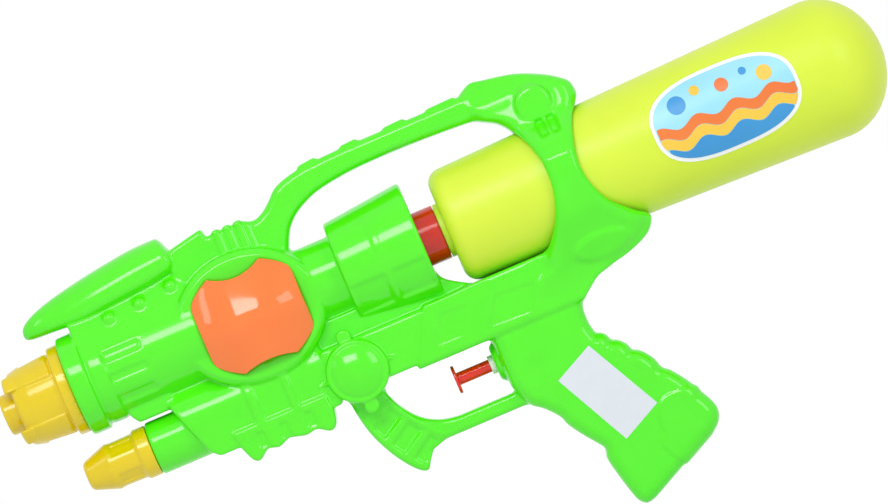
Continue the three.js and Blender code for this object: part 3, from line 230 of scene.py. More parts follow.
def rod(x0: float, x1: float, radius: float) -> list[Pair]:
    """Profile of a plain round rod along x."""
    return [(x0, 0), (x0, radius), (x1, radius), (x1, 0)]


def extent(points: Sequence[Pair]) -> tuple[Pair, Pair]:
    """Lowest and highest corner of the box round points."""
    firsts, seconds = zip(*points)
    return (min(firsts), min(seconds)), (max(firsts), max(seconds))


def outline_distance(outline: Sequence[Pair], first: np.ndarray, second: np.ndarray) -> np.ndarray:
    """Signed distance from a closed outline on a grid of two axes.

    Args:
        outline: Corners of the outline.
        first: Places along the first axis.
        second: Places along the second axis.

    Returns:
        Distances, negative inside the outline.
    """
    p, q = first[:, None], second[None, :]
    nearest = np.full((len(first), len(second)), np.inf)
    inside = np.zeros(nearest.shape, dtype=bool)
    corners = [tuple(c) for c in outline]
    for (ax, az), (bx, bz) in zip(corners, corners[1:] + corners[:1]):
        ex, ez = bx - ax, bz - az
        length = ex * ex + ez * ez
        if length == 0:
            continue
        share = np.clip(((p - ax) * ex + (q - az) * ez) / length, 0, 1)
        nearest = np.minimum(nearest, (p - ax - share * ex) ** 2 + (q - az - share * ez) ** 2)
        if ez != 0:
            inside ^= ((az > q) != (bz > q)) & (p < ex / ez * (q - az) + ax)
    return np.where(inside, -1, 1) * np.sqrt(nearest)


def edge_rounded(a: np.ndarray, b: np.ndarray, radius: float) -> np.ndarray:
    """Distance of what lies inside both of two distances, with its edge rounded."""
    u, v = a + radius, b + radius
    return np.hypot(np.maximum(u, 0), np.maximum(v, 0)) + np.minimum(np.maximum(u, v), 0) - radius


def soft_least(a: np.ndarray, b: np.ndarray, radius: float) -> np.ndarray:
    """Lesser of two distances, with a fillet where they meet.

    Args:
        a: First distances.
        b: Second distances.
        radius: Radius of the fillet, about.

    Returns:
        Distances of what lies inside either.
    """
    if radius <= 0:
        return np.minimum(a, b)
    overlap = np.maximum(radius - np.abs(a - b), 0) / radius
    return np.minimum(a, b) - overlap * overlap * radius / 4


@dataclass(frozen=True)
class Form:
    """A form given by its signed distance inside a box of the layout."""

    low: Triple
    high: Triple
    distance: Distance


def slab(outline: Sequence[Pair], half: float, rounding: float = 0.0) -> Form:
    """Form with an outline in x and z, as thick as twice the half width.

    Args:
        outline: Corners seen from the side.
        half: Half width across.
        rounding: Radius of its edges.

    Returns:
        The form.
    """
    (x0, z0), (x1, z1) = extent(outline)
    return Form(
        (x0, -half, z0), (x1, half, z1),
        lambda x, y, z: edge_rounded(
            outline_distance(outline, x, z)[:, None, :], (np.abs(y) - half)[None, :, None], rounding))


def drawn(section: Sequence[Pair], x0: float, x1: float, rounding: float = 0.0) -> Form:
    """Form with a section in y and z, drawn along x.

    Args:
        section: Corners of the section.
        x0: Front end.
        x1: Rear end.
        rounding: Radius of the edges at both ends.

    Returns:
        The form.
    """
    (y0, z0), (y1, z1) = extent(section)
    return Form(
        (x0, y0, z0), (x1, y1, z1),
        lambda x, y, z: edge_rounded(
            outline_distance(section, y, z)[None, :, :],
            (np.abs(x - (x0 + x1) / 2) - (x1 - x0) / 2)[:, None, None], rounding))


def spun(outline: Sequence[Pair], along: np.ndarray, radius: np.ndarray) -> np.ndarray:
    """Distance of a turned form, looked up by the place along its line and the distance from the line.

    Args:
        outline: Profile on both sides of the line.
        along: Places along the line.
        radius: Distances from the line on a grid of the other two axes.

    Returns:
        Distances, with the line's own axis first.
    """
    pitch = 0.2
    table = outline_distance(outline, along, np.arange(0, radius.max() + 2 * pitch, pitch))
    low = (radius / pitch).astype(int)
    share = radius / pitch - low
    return table[:, low] * (1 - share) + table[:, low + 1] * share


def turned_x(profile: Sequence[Pair], z_axis: float = 0.0) -> Form:
    """Form turned about a line along x, from a profile of x and radius that starts and ends on the line.

    Args:
        profile: Places along x with their radii.
        z_axis: Height of the line.

    Returns:
        The form.
    """
    xs, reach = [p[0] for p in profile], max(p[1] for p in profile)
    whole = [*profile, *[(x, -r) for x, r in reversed(profile)]]
    return Form(
        (min(xs), -reach, z_axis - reach), (max(xs), reach, z_axis + reach),
        lambda x, y, z: spun(whole, x, np.hypot(y[:, None], z[None, :] - z_axis)))


def turned_y(profile: Sequence[Pair], x_axis: float, z_axis: float) -> Form:
    """Form turned about a line along y, the same on both sides.

    Args:
        profile: Distances from the middle plane with their radii, from the middle outwards.
        x_axis: Place of the line along x.
        z_axis: Height of the line.

    Returns:
        The form.
    """
    half, reach = max(p[0] for p in profile), max(p[1] for p in profile)
    side = mirror(profile)
    whole = [*side, *[(y, -r) for y, r in reversed(side)]]
    return Form(
        (x_axis - reach, -half, z_axis - reach), (x_axis + reach, half, z_axis + reach),
        lambda x, y, z: np.moveaxis(
            spun(whole, y, np.hypot(x[:, None] - x_axis, z[None, :] - z_axis)), 0, 1))


def balls(x_centre: float, y_centre: float, z_centre: float, radius: float) -> Form:
    """Form of two balls, one on each side of the middle plane.

    Args:
        x_centre: Place along x.
        y_centre: Distance from the middle plane.
        z_centre: Height.
        radius: Their radius.

    Returns:
        The form.
    """
    reach = y_centre + radius
    return Form(
        (x_centre - radius, -reach, z_centre - radius), (x_centre + radius, reach, z_centre + radius),
        lambda x, y, z: np.sqrt(
            (x - x_centre)[:, None, None] ** 2 + (np.abs(y) - y_centre)[None, :, None] ** 2
            + (z - z_centre)[None, None, :] ** 2) - radius)


def both(a: Form, b: Form, rounding: float = 0.0) -> Form:
    """Form that lies inside two forms.

    Args:
        a: First form.
        b: Second form.
        rounding: Radius of the edges where they meet.

    Returns:
        The form.
    """
    low = tuple(max(p, q) for p, q in zip(a.low, b.low))
    high = tuple(min(p, q) for p, q in zip(a.high, b.high))
    return Form(low, high, lambda x, y, z: edge_rounded(a.distance(x, y, z), b.distance(x, y, z), rounding))


class Mould:
    """Field of signed distances on a millimetre grid, from which a moulded piece is meshed."""

    # Width round a form in which the field is worked out.
    margin: float = 4.0
    # Rounding of the edge along the parting plane.
    parted_edge: float = 0.25
    # How far even areas may be merged into larger faces.
    adaptivity: float = 0.004
    # Distance, in grid steps, over which the slope of the field is measured.
    slope_reach: float = 0.6

    def __init__(self, low: Triple, high: Triple, step: float) -> None:
        """Start with an empty field.

        Args:
            low: Lowest corner of the grid.
            high: Highest corner of the grid.
            step: Grid pitch.
        """
        self.step = step
        self.axes = [np.arange(a, b + step, step) for a, b in zip(low, high)]
        self.values = np.full([len(axis) for axis in self.axes], FAR, dtype=np.float32)

    def window(self, low: Triple, high: Triple, margin: float) -> tuple[tuple[slice, ...], list[np.ndarray]]:
        """Find the part of the grid round a box.

        Args:
            low: Lowest corner of the box.
            high: Highest corner of the box.
            margin: Width kept round the box.

        Returns:
            Slices of the field and the axes inside them.
        """
        cuts = tuple(slice(*np.searchsorted(axis, (a - margin, b + margin)))
                     for axis, a, b in zip(self.axes, low, high))
        return cuts, [axis[cut] for axis, cut in zip(self.axes, cuts)]

    def add(self, form: Form, fillet: float = 1.0) -> None:
        """Join a form to what is there, with a fillet between them."""
        cuts, axes = self.window(form.low, form.high, self.margin + fillet)
        self.values[cuts] = soft_least(self.values[cuts], form.distance(*axes), fillet)

    def cut(self, form: Form, fillet: float = 0.0) -> None:
        """Cut a form out of what is there, with a fillet along its edge."""
        cuts, axes = self.window(form.low, form.high, self.margin + fillet)
        self.values[cuts] = -soft_least(-self.values[cuts], form.distance(*axes), fillet)

    def relief(
        self, outline: Sequence[Pair], height: float, soft: float = 0.4, low: float = -40, high: float = 0,
    ) -> None:
        """Raise or sink the skin inside an outline that is seen from the side.

        Args:
            outline: Corners in x and z.
            height: Height above the skin, negative for a sunken field.
            soft: Half the width of the slope at the edge.
            low: Lowest y that is reached.
            high: Highest y that is reached.
        """
        (x0, z0), (x1, z1) = extent(outline)
        cuts, (x, y, z) = self.window((x0, low, z0), (x1, high, z1), 2 * soft)
        flat = outline_distance(outline, x, z)[:, None, :]
        share = np.clip(0.5 - flat / (2 * soft), 0, 1)
        self.values[cuts] -= (height * share * share * (3 - 2 * share)).astype(np.float32)

    def soften(self, passes: int) -> None:
        """Round every edge by smoothing the field along each axis.

        Args:
            passes: How often it is smoothed.
        """
        for _ in range(passes):
            for axis in range(3):
                before = np.roll(self.values, 1, axis)
                after = np.roll(self.values, -1, axis)
                self.values = (before + 2 * self.values + after) / 4

    def parted(self, gap: float) -> "Mould":
        """Copy of the field that keeps only the left side of the parting plane.

        Args:
            gap: Width left open at the plane.

        Returns:
            The new field.
        """
        half = Mould.__new__(Mould)
        half.step, half.axes = self.step, self.axes
        wall = (self.axes[1] + gap / 2)[None, :, None].astype(np.float32)
        half.values = edge_rounded(self.values, wall, self.parted_edge).astype(np.float32)
        return half

    def mesh(self, name: str, mirrored: bool = False) -> bpy.types.Mesh:
        """Mesh the zero level, with normals from the field's own slope.

        Args:
            name: Name of the mesh.
            mirrored: True for the other side of the middle plane.

        Returns:
            The mesh in metres, in the model's frame.
        """
        band = 3.0
        field = np.clip(self.values / self.step, -band, band).astype(np.float32)
        grid = openvdb.FloatGrid(band)
        grid.copyFromArray(field)
        points, triangles, quads = grid.convertToPolygons(isovalue=0.0, adaptivity=self.adaptivity)
        normals = self.slopes(field, points)
        places = np.array([axis[0] for axis in self.axes]) + points * self.step
        side = np.array((1.0, -1.0 if mirrored else 1.0, 1.0))
        order = slice(None, None, -1) if mirrored else slice(None)
        faces = [tuple(f[order]) for f in quads] + [tuple(f[order]) for f in triangles]
        mesh = bpy.data.meshes.new(name)
        mesh.from_pydata(((places * side - PALM) * MM).tolist(), [], faces)
        mesh.validate()
        mesh.shade_smooth()
        mesh.normals_split_custom_set_from_vertices((normals * side).tolist())
        return mesh

    def slopes(self, field: np.ndarray, points: np.ndarray) -> np.ndarray:
        """Unit slope of a field at points given in grid steps.

        Args:
            field: Field of distances.
            points: Places in grid steps.

        Returns:
            One unit vector for each point.
        """
        def sample(places: np.ndarray) -> np.ndarray:
            """Field between grid points.

            Args:
                places: Places in grid steps.

            Returns:
                One distance for each place.
            """
            top = np.array(field.shape) - 2
            base = np.clip(places.astype(int), 0, top)
            t = np.clip(places - base, 0, 1)
            total = np.zeros(len(places))
            for corner in np.ndindex(2, 2, 2):
                weight = np.prod(np.where(np.array(corner) == 1, t, 1 - t), axis=1)
                total += weight * field[tuple((base + corner).T)]
            return total

        steps = np.eye(3) * self.slope_reach
        slope = np.stack([sample(points + step) - sample(points - step) for step in steps], axis=1)
        return slope / np.maximum(np.linalg.norm(slope, axis=1, keepdims=True), 1e-9)


def to_mesh(name: str, places: np.ndarray, faces: Sequence[Sequence[int]]) -> bpy.types.Mesh:
    """Mesh from layout places, smooth but for its sharp edges.

    Args:
        name: Name of the mesh.
        places: Corners in millimetres.
        faces: Corner numbers of each face.

    Returns:
        The mesh in metres, in the model's frame.
    """
    mesh = bpy.data.meshes.new(name)
    mesh.from_pydata(((places - PALM) * MM).tolist(), [], faces)
    mesh.validate()
    mesh.shade_smooth()
    mesh.set_sharp_from_angle(angle=CREASE)
    return mesh


def lathe(name: str, profile: Sequence[Pair], segments: int = 96, z_axis: float = 0.0) -> bpy.types.Mesh:
    """Mesh turned about a line along x.

    Args:
        name: Name of the mesh.
        profile: Places along x with their radii.
        segments: Faces round the line.
        z_axis: Height of the line.

    Returns:
        The mesh in metres, in the model's frame.
    """
    on_line = 1e-6
    turns = np.linspace(0, 2 * math.pi, segments, endpoint=False)
    places, rows = [], []
    for x, radius in profile:
        first = len(places)
        count = 1 if radius < on_line else segments
        rows.append([first + i % count for i in range(segments)])
        places.extend((x, radius * math.cos(a), z_axis + radius * math.sin(a)) for a in turns[:count])
    faces = []
    for near, far in zip(rows, rows[1:]):
        for i in range(segments):
            j = (i + 1) % segments
            loop = list(dict.fromkeys((near[i], near[j], far[j], far[i])))
            if len(loop) > 2:
                faces.append(loop)
    return to_mesh(name, np.array(places), faces)


def ringed(name: str, places: np.ndarray, count: int, turned: bool = False) -> bpy.types.Mesh:
    """Mesh of rings of points that follow each other, closed at both ends.

    Args:
        name: Name of the mesh.
        places: Points of all the rings in millimetres.
        count: Points in each ring.
        turned: True to turn every face round.

    Returns:
        The mesh in metres, in the model's frame.
    """
    last = len(places) - count
    faces = [list(range(count)), list(reversed(range(last, last + count)))]
    for near in range(0, last, count):
        for i in range(count):
            a, b = near + i, near + (i + 1) % count
            faces.append([a, a + count, b + count, b])
    if turned:
        faces = [face[::-1] for face in faces]
    return to_mesh(name, places, faces)


def decal(
    name: str, outlines: Sequence[Sequence[Pair]], skin: Callable[[float, float, float], float], lift: float,
) -> bpy.types.Mesh:
    """Thin sheet that lies on a skin.

    Args:
        name: Name of the mesh.
        outlines: Closed outlines of the sheet, seen from the side.
        skin: Gives y for x, z and a height over the skin.
        lift: Height of the sheet's underside over the skin.

    Returns:
        The closed mesh in metres, in the model's frame.
    """
    thickness, pitch, tolerance = 0.07, 2.0, 1e-5
    places, faces = [], []
    for outline in outlines:
        rim = []
        for (x0, z0), (x1, z1) in zip(outline, [*outline[1:], outline[0]]):
            steps = max(1, round(math.hypot(x1 - x0, z1 - z0) / pitch))
            rim.extend((x0 + (x1 - x0) * i / steps, z0 + (z1 - z0) * i / steps) for i in range(steps))
        xs, zs = [np.arange(low, high, pitch) for low, high in zip(*extent(rim))]
        inside = outline_distance(rim, xs, zs) < -0.5 * pitch
        points = [*rim, *[(xs[i], zs[j]) for i, j in np.argwhere(inside)]]
        edges = [(i, (i + 1) % len(rim)) for i in range(len(rim))]
        flat, _, cells, *_ = delaunay_2d_cdt([Vector(p) for p in points], edges, [], 1, tolerance)
        first, count = len(places), len(flat)
        places.extend((x, skin(x, z, lift + thickness), z) for x, z in flat)
        places.extend((x, skin(x, z, lift), z) for x, z in flat)
        sides = {(a, b) for cell in cells for a, b in zip(cell, [*cell[1:], cell[0]])}
        faces.extend([first + i for i in cell] for cell in cells)
        faces.extend([first + count + i for i in reversed(cell)] for cell in cells)
        faces.extend([first + a, first + count + a, first + count + b, first + b]
                     for a, b in sides if (b, a) not in sides)
    return to_mesh(name, np.array(places), faces)


def filleted(profile: Sequence[Pair], radius: float) -> list[Pair]:
    """Profile with each inner corner rounded.

    Args:
        profile: Corners of an open profile.
        radius: Largest radius of a corner.

    Returns:
        The rounded profile.
    """
    steps, largest_share = 4, 0.45
    corners = [np.array(p, dtype=float) for p in profile]
    result = [tuple(corners[0])]
    for a, b, c in zip(corners, corners[1:], corners[2:]):
        back, ahead = a - b, c - b
        lengths = np.linalg.norm(back), np.linalg.norm(ahead)
        reach = min(radius, largest_share * min(lengths))
        start, end = b + back / lengths[0] * reach, b + ahead / lengths[1] * reach
        for t in np.linspace(0, 1, steps + 1):
            result.append(tuple((1 - t) ** 2 * start + 2 * t * (1 - t) * b + t * t * end))
    return [*result, tuple(corners[-1])]


class Body(Enum):
    """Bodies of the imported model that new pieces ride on."""

    CASING = "casing"
    TRIGGER = "trigger"
    BOTTLE = "bottle"


@dataclass(frozen=True)
class Finish:
    """Surface of one real material, as the eye meets it.

    The colour drifts slowly towards its shade, the gloss varies in fine specks, and glow is the share of
    light that spreads under the skin.
    """

    name: str
    colour: str
    shade: str
    roughness: float
    speck_mm: float = 1.5
    ripple_mm: float = 0.01
    ior: float = 1.5
    metallic: float = 0.0
    glow: float = 0.0

    def material(self) -> bpy.types.Material:
        """Build the material.

        Returns:
            A material with a slight unevenness of colour, gloss and surface.
        """
        gloss_spread, specks_a_wave, spread_m = 0.2, 8, 0.003
        made = bpy.data.materials.new(self.name)
        tree = empty_tree(made)
        place = add_node(tree, "ShaderNodeTexCoord", {}, {})
        speck, wave = [
            add_node(tree, "ShaderNodeTexNoise", {"Scale": 1 / (size * self.speck_mm * MM), "Detail": detail},
                     {"Vector": (place, "Object")})
            for size, detail in ((1, 3.0), (specks_a_wave, 2.0))]
        blend = add_node(
            tree, "ShaderNodeMix",
            {"data_type": "RGBA", 6: to_linear(self.colour), 7: to_linear(self.shade)},
            {"Factor": (wave, "Fac")})
        gloss = add_node(
            tree, "ShaderNodeMapRange",
            {"To Min": self.roughness * (1 - gloss_spread), "To Max": self.roughness * (1 + gloss_spread)},
            {"Value": (speck, "Fac")})
        relief = add_node(
            tree, "ShaderNodeBump",
            {"Strength": 1.0, "Distance": self.ripple_mm * MM}, {"Height": (wave, "Fac")})
        shader = add_node(
            tree, "ShaderNodeBsdfPrincipled",
            {"Metallic": self.metallic, "IOR": self.ior, "Subsurface Weight": self.glow,
             "Subsurface Radius": (1.0, 1.0, 0.4), "Subsurface Scale": spread_m},
            {"Base Color": (blend, 2), "Roughness": (gloss, "Result"), "Normal": (relief, "Normal")})
        add_node(tree, "ShaderNodeOutputMaterial", {}, {"Surface": (shader, "BSDF")})
        return made


# Injection-moulded polystyrene: bright, even and glossy, with long soft highlights along the round edges. Its
# index of refraction is set a little below the usual one, which keeps the colours deep.
GREEN_POLYSTYRENE = Finish(
    "green moulded polystyrene", "#55f314", "#50eb11", roughness=0.12, ripple_mm=0.008, ior=1.53)
ORANGE_POLYSTYRENE = Finish(
    "orange moulded polystyrene", "#ff8138", "#fb782e", roughness=0.08, ripple_mm=0.004, ior=1.53)
YELLOW_POLYSTYRENE = Finish("yellow moulded polystyrene", "#e9cf04", "#e3c503", roughness=0.15, ior=1.53)
RED_POLYSTYRENE = Finish("red moulded polystyrene", "#f22803", "#e82202", roughness=0.13, ior=1.53, glow=0.5)
# Blow-moulded polyethylene: satin and a little milky, so that light spreads under its skin.
YELLOW_POLYETHYLENE = Finish(
    "yellow blow-moulded polyethylene", "#dcf33f", "#d3ec38", roughness=0.4, speck_mm=3.0, ripple_mm=0.04,
    glow=0.25)
# Natural polypropylene: off-white and soft in its gloss.
WHITE_POLYPROPYLENE = Finish("white moulded polypropylene", "#eef0ea", "#e4e7e0", roughness=0.38)
# Black rubber: matt and dark.
BLACK_RUBBER = Finish(
    "black moulded rubber", "#2c2c2c", "#232323", roughness=0.75, speck_mm=0.8, ripple_mm=0.02)
# Soft PVC hose: milky with a wet-looking skin.
MILKY_PVC = Finish("milky extruded PVC", "#dfe6e2", "#d3dcd7", roughness=0.35, glow=0.1)
# Zinc-plated steel: bright and slightly uneven.
ZINC_STEEL = Finish(
    "zinc-plated steel", "#b9bcc0", "#a9adb2", roughness=0.35, speck_mm=0.6, ripple_mm=0.005, metallic=1.0)
# Coated paper: white and nearly matt.
COATED_PAPER = Finish(
    "coated white paper", "#f6f7f6", "#eff1f2", roughness=0.55, speck_mm=0.5, ripple_mm=0.005)
# Thermal label paper: bluish white and matt.
LABEL_PAPER = Finish(
    "thermal label paper", "#dfe3ec", "#d8dde8", roughness=0.6, speck_mm=0.5, ripple_mm=0.005)
# Printing inks under a clear film: even and glossy.
PALE_BLUE_INK = Finish(
    "pale blue printing ink", "#a9e4f2", "#8fd8ee", roughness=0.35, speck_mm=2.0, ripple_mm=0.002)
BLUE_INK = Finish("blue printing ink", "#3d9fdc", "#2f8bd0", roughness=0.35, speck_mm=2.0, ripple_mm=0.002)
ORANGE_INK = Finish(
    "orange printing ink", "#f08a3a", "#e8662c", roughness=0.35, speck_mm=4.0, ripple_mm=0.002)
YELLOW_INK = Finish(
    "yellow printing ink", "#f6cf4a", "#f2bf3a", roughness=0.35, speck_mm=4.0, ripple_mm=0.002)


class Workshop:
    """Keeps the materials and places finished pieces on their bodies."""

    def __init__(self) -> None:
        """Start with no materials."""
        self.materials: dict[str, bpy.types.Material] = {}

    def coat(self, finish: Finish) -> bpy.types.Material:
        """Material of a finish, made once.

        Args:
            finish: The surface.

        Returns:
            Its material.
        """
        if finish.name not in self.materials:
            self.materials[finish.name] = finish.material()
        return self.materials[finish.name]

    def place(
        self, mesh: bpy.types.Mesh, finish: Finish, body: Body, nodes: Sequence[str] = (), slot: str = "",
    ) -> bpy.types.Object:
        """Make a piece from a mesh and let it ride on its body.

        Args:
            mesh: Finished mesh.
            finish: Its surface.
            body: Body that carries it.
            nodes: Nodes of the model that it stands for.
            slot: Material slot of the record; not used.

        Returns:
            The new object.
        """
        piece = add_object(mesh.name, mesh)
        mesh.materials.append(self.coat(finish))
        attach(piece, body.value)
        if nodes:
            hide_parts(*nodes)
        LOG.info("%s: %d faces on %s", piece.name, len(mesh.polygons), body.value)
        return piece

    def dress(self, node: str, finish: Finish) -> None:
        """Give a node of the model its finish.

        Args:
            node: Name of the node.
            finish: Its surface.
        """
        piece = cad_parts[node]
        piece.data.materials.clear()
        piece.data.materials.append(self.coat(finish))
        piece.data.shade_smooth()
        piece.data.set_sharp_from_angle(angle=NODE_CREASE)
        LOG.info("%s: node kept, %s", node, finish.name)


@dataclass
class Group:
    """Part of the casing, worked into its mould."""

    mould: Mould


@dataclass
class Barrel(Group):
    """Main barrel with flange, ring and slots, and the lower barrel under it."""

    front: float = -82.0
    radius: float = 20.0
    flange_radius: float = 22.3
    flange_end: float = -73.4
    groove_radius: float = 20.3
    ring_front: float = -72.0
    ring_end: float = -65.0
    ring_radius: float = 21.0
    breech_radius: float = 17.3
    breech_end: float = 46.0
    edge: float = 0.6
    slot_heights: tuple[float, ...] = (6.5, -2.9, -12.5)
    slot_half: float = 1.7
    slot_end: float = -48.0
    slot_depth: float = 0.9
    chin: Line = ((-64.4, -15), (-64, -21), (-61.4, -24.8), (-44, -24.8), (-44, -15))
    chin_half: float = 9.0
    lower_z: float = -37.8
    lower_radius: float = 11.7
    lower_front: float = -61.0
    lower_end: float = -36.0
    mouth: Pair = (-70.1, 15.9)
    lower_mouth: Pair = (-51.7, 9.3)

    def shape(self) -> None:
        """Add the two barrels and the chin between them."""
        self.mould.add(turned_x([
            (self.front, 0), (self.front, self.flange_radius - self.edge),
            (self.front + self.edge, self.flange_radius),
            (self.flange_end, self.flange_radius), (self.flange_end, self.groove_radius),
            (self.ring_front, self.groove_radius), (self.ring_front, self.ring_radius),
            (self.ring_end, self.ring_radius), (self.ring_end, self.radius), (0, self.radius),
            (0, self.breech_radius), (self.breech_end, self.breech_radius), (self.breech_end, 0),
        ]), fillet=0)
        self.mould.add(slab(self.chin, self.chin_half, rounding=1), fillet=0.8)
        self.mould.add(turned_x([
            (self.lower_front, 0), (self.lower_front, self.lower_radius - self.edge),
            (self.lower_front + self.edge, self.lower_radius),
            (self.lower_end, self.lower_radius), (self.lower_end, 0),
        ], self.lower_z), fillet=0.5)

    def detail(self) -> None:
        """Sink the slots and cut the mouths for both nozzles."""
        for z in self.slot_heights:
            slot = box_outline(self.ring_end + 0.4, self.slot_end, z - self.slot_half, z + self.slot_half)
            self.mould.relief(slot, -self.slot_depth)
        ahead = 2
        for front, (floor, radius), z in (
            (self.front, self.mouth, 0.0), (self.lower_front, self.lower_mouth, self.lower_z),
        ):
            self.mould.cut(turned_x(rod(front - ahead, floor, radius), z))


@dataclass
class Drum(Group):
    """Oval drum plate with the pockets of its two domed inserts."""

    z: float = -1.7
    half_length: float = 33.0
    half_height: float = 28.7
    half: float = 17.2
    bevel: float = 2.5
    pocket_floor: float = 15.2
    pocket_top: float = 26.0

    def shape(self) -> None:
        """Add the drum, with its rim bevelled."""
        rim = oval((0, self.z), (self.half_length, self.half_height), 96)
        plate = slab(rim, self.half)

        def distance(*axes: np.ndarray) -> np.ndarray:
            """Distance inside the rim, the face and the bevel between them.

            Args:
                axes: Places along x, places across and heights.

            Returns:
                Distances on their grid.
            """
            x, y, z = axes
            edge = outline_distance(rim, x, z)[:, None, :]
            face = (np.abs(y) - self.half)[None, :, None]
            return np.maximum(np.maximum(edge, face), (edge + face + self.bevel) / math.sqrt(2))

        self.mould.add(Form(plate.low, plate.high, distance), fillet=0.6)

    def detail(self, outline: Sequence[Pair]) -> None:
        """Cut the pocket for an insert.

        Args:
            outline: Outline of the pocket.
        """
        pocket = slab(outline, self.pocket_top)
        (x0, low, z0), (x1, _, z1) = pocket.low, pocket.high
        self.mould.cut(Form(
            (x0, low, z0), (x1, -self.pocket_floor, z1),
            lambda x, y, z: np.maximum(
                pocket.distance(x, y, z), (self.pocket_floor - np.abs(y))[None, :, None])))


@dataclass
class Blade(Group):
    """Blade over the barrel on its riveted web, with the spine and ribs behind it.

    Each station gives x, the heights of underside, ridge and top, and the share of the full width there.
    """

    half: float = 14.0
    top_half: float = 5.0
    top_share: float = 0.6
    underside_share: float = 0.86
    crest_in: float = 0.25
    crest_up: float = 0.52
    softness: float = 4.5
    stations: tuple[tuple[float, ...], ...] = (
        (-95.4, 28.2, 29.2, 30.2, 0.1), (-93.5, 26.4, 29.0, 32.0, 0.3), (-88.0, 25.6, 28.4, 35.1, 0.55),
        (-80.0, 25.2, 28.6, 38.0, 0.75), (-68.0, 24.6, 30.7, 40.8, 0.9), (-50.0, 26.2, 33.0, 43.8, 1.0),
        (-34.0, 27.8, 35.0, 45.5, 1.0), (-25.6, 29.2, 36.0, 45.6, 0.97), (-20.6, 30.2, 36.0, 38.4, 0.9),
    )
    levels: Pair = (24.0, 46.0)
    web_lean: float = 28.0
    web_top: float = 31.5
    web_ends: Pair = (-74.0, -20.6)
    barrel_radius: float = 20.0
    rivet_radius: float = 3.3
    rivet_sink: float = 1.2
    rivets: Line = ((-56, 21), (-41.7, 21.8), (-26.6, 23.6))
    spine: Line = (
        (-24, 15), (-24, 33.6), (-21, 38.2), (-5.4, 41.4), (-4.6, 37.4), (13, 37.4), (15, 35.4), (15, 15))
    spine_half: float = 9.5
    ribs: int = 3
    first_rib: float = 0.2
    rib_pitch: float = 5.0
    rib_width: float = 3.4
    rib_levels: Pair = (24.0, 38.6)

    def web_reach(self, z: float) -> float:
        """Half width of the web at a height, where it leans in as a tangent of the barrel."""
        lean = math.radians(self.web_lean)
        return (self.barrel_radius - z * math.sin(lean)) / math.cos(lean)

    def edge(self) -> Form:
        """Blade form: flats with a ridge on each flank, from its nose to its rear.

        Returns:
            The form.
        """
        table = np.array(self.stations)

        def distance(*axes: np.ndarray) -> np.ndarray:
            """Largest of the distances from the flats.

            Args:
                axes: Places along x, places across and heights.

            Returns:
                Distances on their grid.
            """
            x, y, z = np.ix_(*axes)
            low, ridge, high, share = [eased(table[:, 0], column, x) for column in table.T[1:]]
            half = self.half * share
            top = np.minimum(self.top_half, half * self.top_share)
            flats = [low - z, z - high]
            crest = half - self.crest_in * (half - top), ridge + self.crest_up * (high - ridge)
            corners = (half * self.underside_share, low), (half, ridge), crest, (top, high)
            for (y0, z0), (y1, z1) in zip(corners, corners[1:]):
                run, rise = y1 - y0, z1 - z0
                flats.append(((np.abs(y) - y0) * rise - (z - z0) * run) / np.hypot(run, rise))
            ends = np.maximum(table[0, 0] - x, x - table[-1, 0])
            total = flats[0]
            for flat in (*flats[1:], ends):
                total = -soft_least(-total, -flat, self.softness)
            return total

        low, high = self.levels
        return Form((table[0, 0], -self.half, low), (table[-1, 0], self.half, high), distance)

    def shape(self) -> None:
        """Add web, blade, rivets, spine and ribs."""
        foot = self.barrel_radius * math.sin(math.radians(self.web_lean))
        web = mirror([(self.web_reach(z), z) for z in (foot, self.web_top)])
        self.mould.add(drawn(web, *self.web_ends, rounding=0.8), fillet=0.8)
        self.mould.add(self.edge(), fillet=0.4)
        for x, z in self.rivets:
            self.mould.add(balls(x, self.web_reach(z) - self.rivet_sink, z, self.rivet_radius), fillet=0.6)
        self.mould.add(slab(self.spine, self.spine_half, rounding=2), fillet=1.0)
        for i in range(self.ribs):
            x = self.first_rib + self.rib_pitch * i
            rib = box_outline(x - self.rib_width / 2, x + self.rib_width / 2, *self.rib_levels)
            self.mould.add(slab(rib, self.spine_half + 1, rounding=1), fillet=0.5)


@dataclass
class Handle(Group):
    """Carry handle with grip pads along its top, the first of which lies lower at its front."""

    half: float = 8.5
    rounding: float = 3.4
    top: Line = ((14, 36), (18, 36), (22.4, 38), (26.4, 41.2), (30.6, 45), (37, 47.4), (46, 49), (62, 49.8))
    rear: Line = ((124, 50), (124, 38))
    under: Line = (
        (110, 38.9), (95, 39.5), (80, 39.7), (64, 39.2), (50, 37.4), (42, 35), (35, 31.2), (30, 26.2),
        (26.2, 18.6))
    root: Line = ((25.6, 12), (14, 12))
    pads: Line = ((42, 53), (62, 72.5), (82, 94.5), (102, 118))
    pad_ends: Pair = (49.4, 49.8)
    pad_proud: float = 1.4
    pad_slope: float = 1.4
    first_pad_sink: float = 0.9

    def shape(self) -> None:
        """Add the handle and its pads."""
        side = [*through(self.top), *self.rear, *through(self.under), *self.root]
        self.mould.add(slab(side, self.half, self.rounding), fillet=2.5)
        for i, (x0, x1) in enumerate(self.pads):
            sink = self.first_pad_sink if i == 0 else 0.0
            front, rear = [level + self.pad_proud for level in self.pad_ends]
            pad = [(x0, 44), (x0, 46), (x0 + self.pad_slope, front - sink),
                   (x1 - self.pad_slope, rear - sink / 2), (x1, 46), (x1, 44)]
            self.mould.add(slab(pad, self.half - 1.2, rounding=1.6), fillet=0.6)


